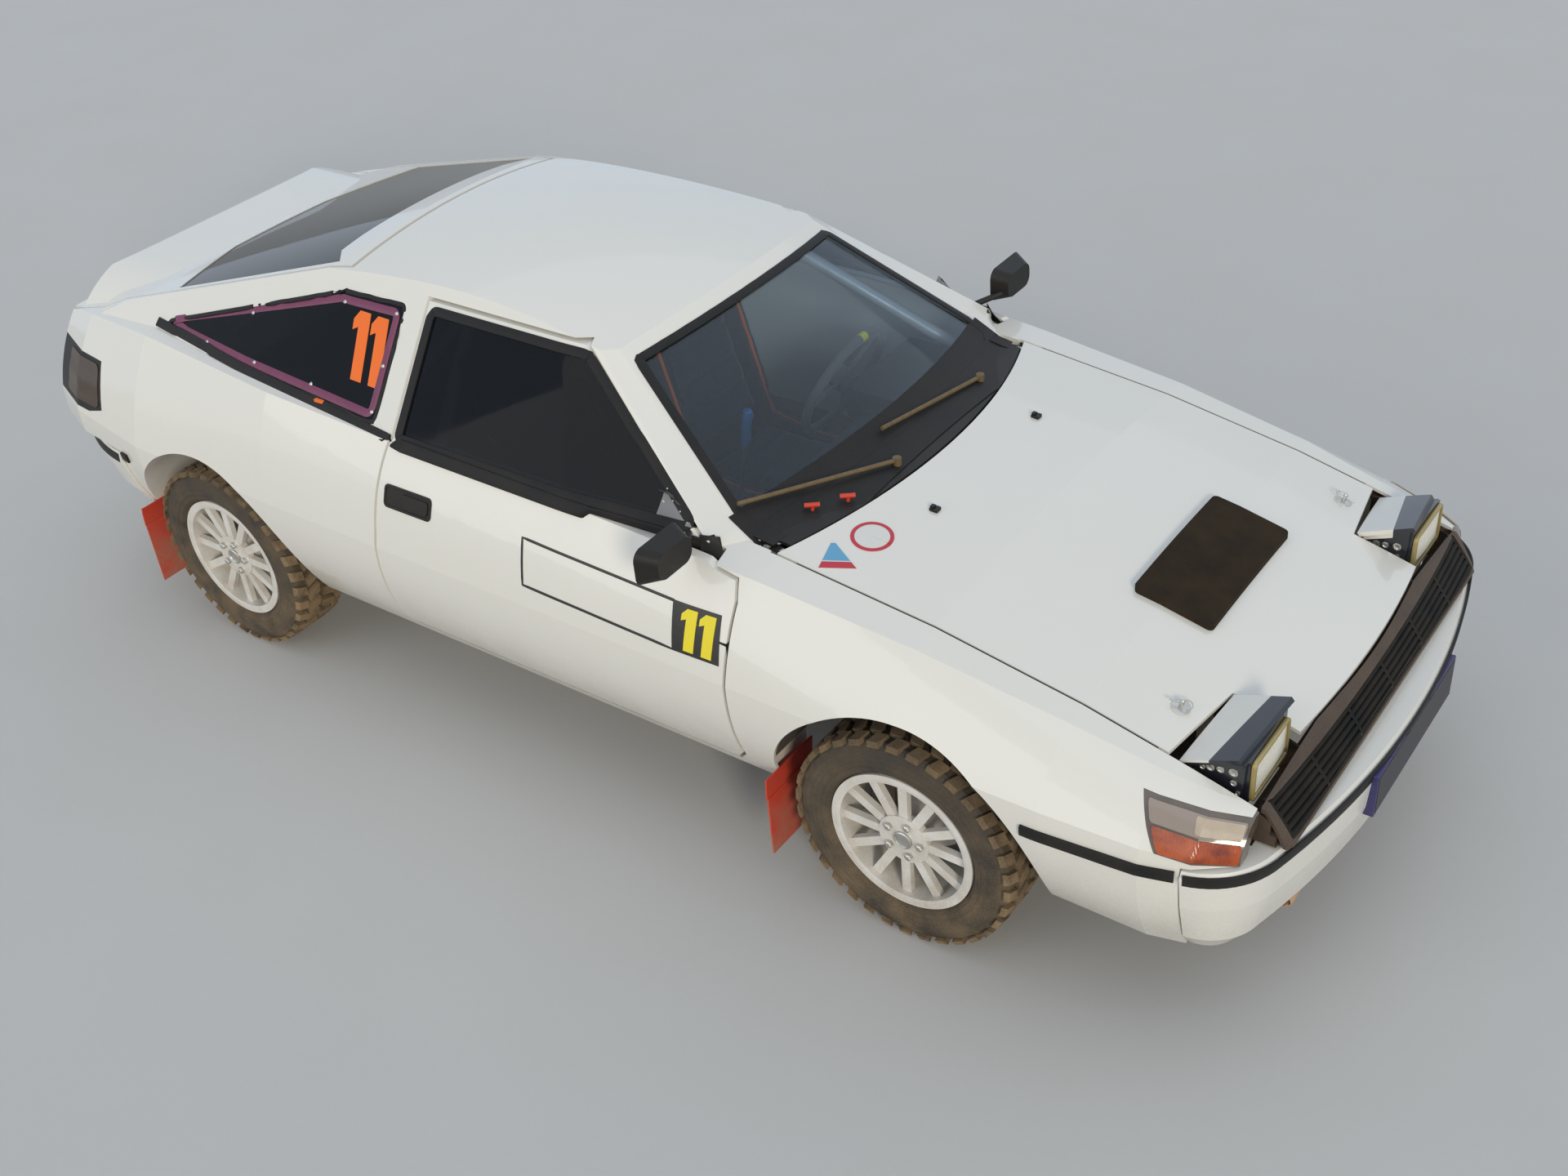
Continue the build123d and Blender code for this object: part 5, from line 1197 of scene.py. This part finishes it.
def mirror_plate(side, name):
    """The corner plate of one door glass, and the rivets on it."""
    door = f"door_{name}_side"
    tree = tree_of(f"door_glass_{name}", f"door_{name}")
    plate = side_patch(tree, side, slanted(CORNER_PLATE), (0.432, 0.962), (0.112, 0.070), 0.0025, 0.0005,
                       (5, 5))
    add(f"mirror_plate_{name}", door, plate, grey_plate)
    add(f"mirror_rivets_{name}", door, studs(tree, RIVETS, side, RIVET_HEAD), zinc)


for side, name in SIDES:
    door_handle(side, name)
    mirror_plate(side, name)
print("handles and mirror plates")

# %% [markdown]
# ## Seat shells
# Each bucket is a hard shell with a wing at either side. The shell is an outline seen from the side, given
# a thickness, and a bevel rounds its edges. It stands for the plain seats of the CAD.


# %% Seat shells
SEAT_Y, PAD_HALF, WING = 0.350, 0.178, 0.045
SEAT_OUTER = [(0.300, 0.330), (0.318, 0.466), (0.040, 0.438), (-0.152, 0.470), (-0.331, 1.112),
              (-0.383, 1.126), (-0.328, 0.700), (-0.258, 0.330)]
SEAT_INNER = [(0.300, 0.330), (0.312, 0.420), (0.040, 0.392), (-0.190, 0.420), (-0.362, 1.118),
              (-0.383, 1.126), (-0.328, 0.700), (-0.258, 0.330)]


def plate_of(outline, low_y, high_y):
    """An outline in (x, z) given thickness from low_y to high_y."""
    outline = np.asarray(outline, float)
    count = len(outline)
    both = [np.column_stack([outline[:, 0], np.full(count, y), outline[:, 1]]) for y in (low_y, high_y)]
    around_it = [[i, (i + 1) % count, (i + 1) % count + count, i + count] for i in range(count)]
    return np.concatenate(both), around_it + [list(range(count))[::-1], list(range(count, 2 * count))]


WING_TOP = [(-0.272, 0.900), (-0.300, 0.925), (-0.356, 0.925)]
wing_low = [p for p in SEAT_OUTER if p[1] < 1.0]
SEAT_WING = wing_low[:4] + WING_TOP + wing_low[4:]
shells = []
for middle in (-SEAT_Y, SEAT_Y):
    shells.append(plate_of(SEAT_INNER, middle - PAD_HALF, middle + PAD_HALF))
    for edge in (-1, 1):
        shells.append(plate_of(SEAT_WING, middle + edge * PAD_HALF, middle + edge * (PAD_HALF + WING)))
shell = add("seat_shells", "body", joined(*shells), seat_cloth, bevel=0.009)
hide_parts("seats")
print("seat shells", len(shells))

# %% [markdown]
# ## Piping
# Orange piping is sewn along the edge of each wing. It is a round profile swept from the front of the seat
# to the shoulder, in even steps between a few chosen points.

# %% Piping
PIPING_RUN = np.array([(0.318, 0.462), (0.180, 0.4525), (0.040, 0.440), (-0.060, 0.455), (-0.150, 0.472),
                       (-0.210, 0.690), (-0.270, 0.902), (-0.300, 0.928)])
place = np.linspace(0, len(PIPING_RUN) - 1, 60)
even = [np.interp(place, np.arange(len(PIPING_RUN)), PIPING_RUN[:, k]) for k in range(2)]
runs = []
for middle in (-SEAT_Y, SEAT_Y):
    for edge in (-1, 1):
        path = np.column_stack([even[0], np.full(60, middle + edge * (PAD_HALF + WING / 2)), even[1]])
        runs.append(swept(path, round_section(0.0055, 8), (0, 1, 0)))
add("seat_piping", "body", joined(*runs), piping)
print("piping", len(runs))

# %% [markdown]
# ## Seat pads
# A pad is cloth over foam: it crowns in the middle and sinks along its seams. A scaled or smoothed block
# keeps flat sides, so a thin closed slab is blown up by a cloth simulation, and no point may move more
# than a cap. The result is applied, and channels are then pressed into its top.


# %% Pad makers
def slab(low_end, high_end, thickness, low_half, high_half, count=(26, 20)):
    """A slab between two ends of a line in (x, z): its underside on the line, its top thickness above."""
    low_end, high_end = np.array(low_end), np.array(high_end)
    along = high_end - low_end
    out = np.array((along[1], -along[0])) / np.linalg.norm(along)
    if out @ np.array((0.5, 1.0)) < 0:
        out = -out
    u, v = np.meshgrid(np.linspace(0, 1, count[0]), np.linspace(-1, 1, count[1]), indexing="ij")
    half = low_half + u * (high_half - low_half)
    line = low_end + u[..., None] * along
    under = np.stack([line[..., 0], v * half, line[..., 1]], -1)
    return shell_between(under + thickness * np.array((out[0], 0, out[1])), under)


def blown(name, mesh, cap, voxel=0.007, pressure=4.0):
    """A closed slab blown up as cloth: no point moves further than cap from where it started."""
    data = bpy.data.meshes.new(name)
    data.from_pydata(np.asarray(mesh[0]).tolist(), [], [tuple(f) for f in mesh[1]])
    work = bmesh.new()
    work.from_mesh(data)
    bmesh.ops.recalc_face_normals(work, faces=work.faces)
    work.to_mesh(data)
    work.free()
    pad = bpy.data.objects.new(name, data)
    bpy.context.scene.collection.objects.link(pad)
    remesh = pad.modifiers.new("remesh", "REMESH")
    remesh.mode, remesh.voxel_size = "VOXEL", voxel
    bpy.context.view_layer.update()
    even = bpy.data.meshes.new_from_object(pad.evaluated_get(bpy.context.evaluated_depsgraph_get()))
    pad.modifiers.clear()
    pad.data = even
    start = np.empty(len(even.vertices) * 3)
    even.vertices.foreach_get("co", start)
    start = start.reshape(-1, 3)
    shift = np.zeros_like(start)
    cloth = pad.modifiers.new("cloth", "CLOTH")
    cloth.settings.use_pressure = True
    cloth.settings.uniform_pressure_force = pressure
    cloth.settings.effector_weights.gravity = 0.0
    cloth.point_cache.frame_start, cloth.point_cache.frame_end = 1, 20
    for moment in range(1, 21):
        bpy.context.scene.frame_set(moment)
    puffed = pad.evaluated_get(bpy.context.evaluated_depsgraph_get()).to_mesh()
    end = np.empty(len(puffed.vertices) * 3)
    puffed.vertices.foreach_get("co", end)
    shift = end.reshape(-1, 3) - start
    bpy.context.scene.frame_set(1)
    pad.modifiers.clear()
    length = np.linalg.norm(shift, axis=1, keepdims=True)
    shift *= np.minimum(1.0, cap / np.maximum(length, 1e-9))
    faces = [list(p.vertices) for p in even.polygons]
    bpy.data.objects.remove(pad)
    return start + shift, faces


def stitched(points, origin, along, lines, depth=0.006, width=0.010):
    """Sewn channels across a pad: each point sinks by depth exp(-(s - line)^2 / width^2) on the top side."""
    s = (points - origin) @ along
    dip = sum(np.exp(-((s - line) / width) ** 2) for line in lines)
    out = np.cross(along, (0.0, 1.0, 0.0))
    out = out if out @ np.array((0.5, 0, 1.0)) > 0 else -out
    middle = ((points - origin) @ out).mean()
    top = np.clip(((points - origin) @ out - middle) / 0.01, 0, 1)
    return points - (depth * dip * top)[:, None] * out


# %% [markdown]
# ## The pads of both seats
# One base and one back are blown up and stitched, and both seats use them. The seats are of one kind, so
# the simulation runs twice and not four times.

# %% Seat pads
PADS = (
    # part, low end and high end (x, z), thickness, half width at either end, places of the channels
    ("base", (-0.150, 0.432), (0.292, 0.428), 0.016, 0.166, 0.166, (0.10, 0.19, 0.28, 0.37)),
    ("back", (-0.196, 0.490), (-0.348, 1.098), 0.014, 0.166, 0.150, (0.12, 0.22, 0.32, 0.42, 0.52)),
)
for part, low_end, high_end, thickness, low_half, high_half, lines in PADS:
    points, faces = blown(part, slab(low_end, high_end, thickness, low_half, high_half), 0.012)
    origin = np.array((low_end[0], 0, low_end[1]))
    along = np.array((high_end[0] - low_end[0], 0, high_end[1] - low_end[1]))
    along /= np.linalg.norm(along)
    points = stitched(points, origin, along, lines)
    for side, name in SIDES:
        pad = add(f"seat_{part}_pad_{name}", "body", (points + (0, side * SEAT_Y, 0), faces), pad_cloth)
        smooth = pad.modifiers.new("smooth", "SUBSURF")
        smooth.levels = smooth.render_levels = 1
    print(part, "pad", len(points))

# %% [markdown]
# ## Brake lever
# A tall lever with a blue grip stands on the tunnel, in a rubber boot. The rod is swept, and the grip and
# the boot are turned about it.

# %% Brake lever
lever_foot, lever_top = np.array((0.172, -0.080, 0.440)), np.array((0.259, -0.080, 0.903))
lever = lever_top - lever_foot
lever_run = lever_foot + np.linspace(0, 1, 12)[:, None] * lever
lever_way = lever / np.linalg.norm(lever)
GRIP = [(0.0, 0.0), (0.0, 0.013), (0.015, 0.016), (0.075, 0.015), (0.100, 0.019), (0.115, 0.014),
        (0.120, 0.0)]
BOOT = [(0.0, 0.0), (0.0, 0.045), (0.030, 0.030), (0.060, 0.012), (0.062, 0.0)]
add("brake_lever", "body", swept(lever_run, round_section(0.008, 12), (0, 1, 0)), zinc)
add("lever_grip", "body", lathe(GRIP, lever_top - lever_way * 0.110, lever, 24, False), blue_grip)
add("lever_boot", "body", lathe(BOOT, lever_foot + (0, 0, -0.01), lever, 24, False), black_rubber)
print("brake lever")

# %% [markdown]
# ## Steering wheel mark
# A yellow band at the top of the wheel shows when it points straight ahead. It is an arc of the rim, a
# little thicker than it.

# %% Steering wheel mark
COLUMN_TILT = radians(25)
RIM_RADIUS, BAND_RADIUS = 0.178, 0.0148
rim_centre = np.array((0.290, 0.350, 0.800))
rim_axis = np.array((cos(COLUMN_TILT), 0, -sin(COLUMN_TILT)))
rim_up = np.array((sin(COLUMN_TILT), 0, cos(COLUMN_TILT)))
t = np.radians(np.linspace(-4, 4, 7))[:, None]
band = rim_centre + RIM_RADIUS * (np.cos(t) * rim_up + np.sin(t) * np.array((0, 1.0, 0)))
add("wheel_mark", "body", swept(band, round_section(BAND_RADIUS, 20), rim_axis), yellow)
print("wheel mark")

# %% [markdown]
# ## Tyres
# Knobbly tyres give the car its stance. The walls are turned on a lathe, with fine ribs. The tread is
# four rows of skewed blocks, staggered from row to row. Displacement would need a very fine mesh for such
# sharp blocks, so each block is eight corners, worked out for a whole row at once.


# %% Tyre makers
TYRE_R, BLOCKS = 0.317, 34
PITCH = 2 * pi / BLOCKS
TREAD_ROWS = [
    # low y, high y, shift along the row, share of the pitch filled, skew, radius of the root
    (-0.0955, -0.056, 0.0, 0.62, 0.20, 0.298),
    (-0.050, -0.006, 0.5, 0.66, -0.30, 0.303),
    (0.006, 0.050, 0.0, 0.66, 0.30, 0.303),
    (0.056, 0.0955, 0.5, 0.62, -0.20, 0.298),
]


def tyre_walls(centre):
    """A carcass with ribbed sidewalls, turned from a profile (y, radius) and its mirror image."""
    wall = [(-0.074, 0.190), (-0.0745, 0.2055), (-0.086, 0.214)]
    for k in range(9):
        r = 0.220 + 0.0085 * k
        belly = 0.0955 - 0.00035 * (k - 3.0) ** 2
        wall += [(-belly, r), (-belly + (0.0016 if k % 2 else 0.0), r + 0.004)]
    wall += [(-0.083, 0.299), (-0.075, 0.305)]
    return lathe(wall + [(-y, r) for y, r in reversed(wall)], centre, (0, 1, 0), 96)


def tread_row(centre, low_y, high_y, shift, fill, skew, root):
    """Corners (R sin t, y, R cos t) of a row of blocks, by block, root or top, low or high y, and end."""
    block, level, edge, end = np.meshgrid(np.arange(BLOCKS), [0, 1], [0, 1], [-1, 1], indexing="ij")
    radius = np.where(level, TYRE_R - 0.0004, root)
    y = np.where(edge, high_y, low_y)
    chamfer = np.where((level == 1) & (abs(y) > 0.09), 0.004, 0.0)
    half = PITCH * fill / 2 * np.where(level, 0.90, 1.0)
    t = PITCH * (block + shift) + PITCH * np.where(edge, skew, -skew) * 0.5 + end * half
    radius, y = radius - chamfer, y - np.sign(y) * chamfer * 1.5
    corners = np.stack([radius * np.sin(t), y, radius * np.cos(t)], -1).reshape(-1, 3) + centre
    faces = (8 * np.arange(BLOCKS)[:, None, None] + np.array(BOX_FACES)).reshape(-1, 4)
    return corners, faces.tolist()


def wheel_nuts(centre, side):
    """Five nuts round a hub cap, on the outer face of the wheel."""
    nut = [(0.0, 0.0), (0.0, 0.0105), (0.010, 0.0105), (0.013, 0.007), (0.013, 0.0)]
    cap = [(0.0, 0.026), (0.006, 0.026), (0.008, 0.023), (0.003, 0.021), (0.003, 0.0)]
    hub = centre * (1, 0, 1) + (0, side * 0.802, 0)
    turns = 2 * pi * np.arange(5) / 5 + 0.3
    spots = hub + 0.050 * np.stack([np.sin(turns), 0 * turns, np.cos(turns)], 1)
    return joined(*(lathe(nut, spot, (0, side, 0), 6, False) for spot in spots),
                  lathe(cap, hub, (0, side, 0), 32, False))


# %% [markdown]
# ## The four wheels
# Each wheel gets walls, tread and nuts, which turn with it. The walls stand for the plain tyre of the CAD.

# %% Tyres and nuts
HALF_TRACK = 0.732
for end, axle_x in (("front", 1.210), ("rear", -1.315)):
    for side, name in SIDES:
        wheel = f"wheel_{end}_{name}"
        centre = np.array([axle_x, side * HALF_TRACK, TYRE_R])
        walls = add(f"tyre_walls_{end}_{name}", wheel, tyre_walls(centre), tyre_rubber, 30)
        add(f"tyre_tread_{end}_{name}", wheel, joined(*(tread_row(centre, *row) for row in TREAD_ROWS)),
            tread_rubber, 25)
        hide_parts(f"tyre_{end}_{name}")
        add(f"wheel_nuts_{end}_{name}", wheel, wheel_nuts(centre, side), zinc, 30)
print("wheels")

# %% [markdown]
# ## The floor
# A pale grey floor holds the shadow under the car. It is part of the stage and not of the car.

# %% Floor
floor_data = bpy.data.meshes.new("floor")
floor_data.from_pydata([(-40, -40, 0), (40, -40, 0), (40, 40, 0), (-40, 40, 0)], [], [(0, 1, 2, 3)])
floor = bpy.data.objects.new("floor", floor_data)
floor_data.materials.append(finish("floor", (0.60, 0.60, 0.59), 0.85, amount=0.05, scale=2.0, bump=0.0))
bpy.context.scene.collection.objects.link(floor)
print("floor", len(floor_data.polygons))

# %% [markdown]
# ## The sky
# The world does two things at once. The camera, mirrors and glass see a pale sky; everything else is lit
# by a dimmer one, so that the backdrop can be bright and the white paint still keeps its shade.

# %% Sky
world = bpy.data.worlds.new("sky")
bpy.context.scene.world = world
world.use_nodes = True
sky = world.node_tree
backdrop = sky.nodes["Background"]
ambient = sky.nodes.new("ShaderNodeBackground")
mixer = sky.nodes.new("ShaderNodeMixShader")
rays = sky.nodes.new("ShaderNodeLightPath")
seen = math_node(sky, "MAXIMUM", rays.outputs["Is Camera Ray"], math_node(
    sky, "MAXIMUM", rays.outputs["Is Glossy Ray"], rays.outputs["Is Transmission Ray"]))
backdrop.inputs["Color"].default_value = (0.72, 0.82, 0.95, 1)
backdrop.inputs["Strength"].default_value = 1.0
ambient.inputs["Color"].default_value = (0.72, 0.84, 1.0, 1)
ambient.inputs["Strength"].default_value = 0.42
sky.links.new(seen, mixer.inputs["Fac"])
sky.links.new(ambient.outputs[0], mixer.inputs[1])
sky.links.new(backdrop.outputs[0], mixer.inputs[2])
sky.links.new(mixer.outputs[0], sky.nodes["World Output"].inputs["Surface"])
print("sky", len(sky.nodes))

# %% [markdown]
# ## Lamps
# Daylight under thin cloud is a soft key from the front right and broad fill from the side and above. Area
# lamps would fall off along a car over four metres long; suns stay even, and their width sets how soft
# the shadows are.


# %% Lamps
def lamp(name, place, angle, strength, colour):
    """Even, soft light from a place towards the car: a sun as wide as angle, in degrees."""
    data = bpy.data.lights.new(name, "SUN")
    data.angle, data.energy, data.color = radians(angle), strength, colour
    light = bpy.data.objects.new(name, data)
    light.location = place
    light.rotation_euler = (-Vector(place)).to_track_quat("-Z", "Y").to_euler()
    bpy.context.scene.collection.objects.link(light)


lamp("key", (6.0, -5.0, 3.0), 14, 1.45, (1.0, 0.90, 0.74))
lamp("side", (-3.0, -6.5, 2.5), 50, 0.60, (1.0, 0.93, 0.82))
lamp("top", (0.0, 2.0, 7.0), 90, 0.55, (0.90, 0.95, 1.0))
print("lamps", len(bpy.data.lights))
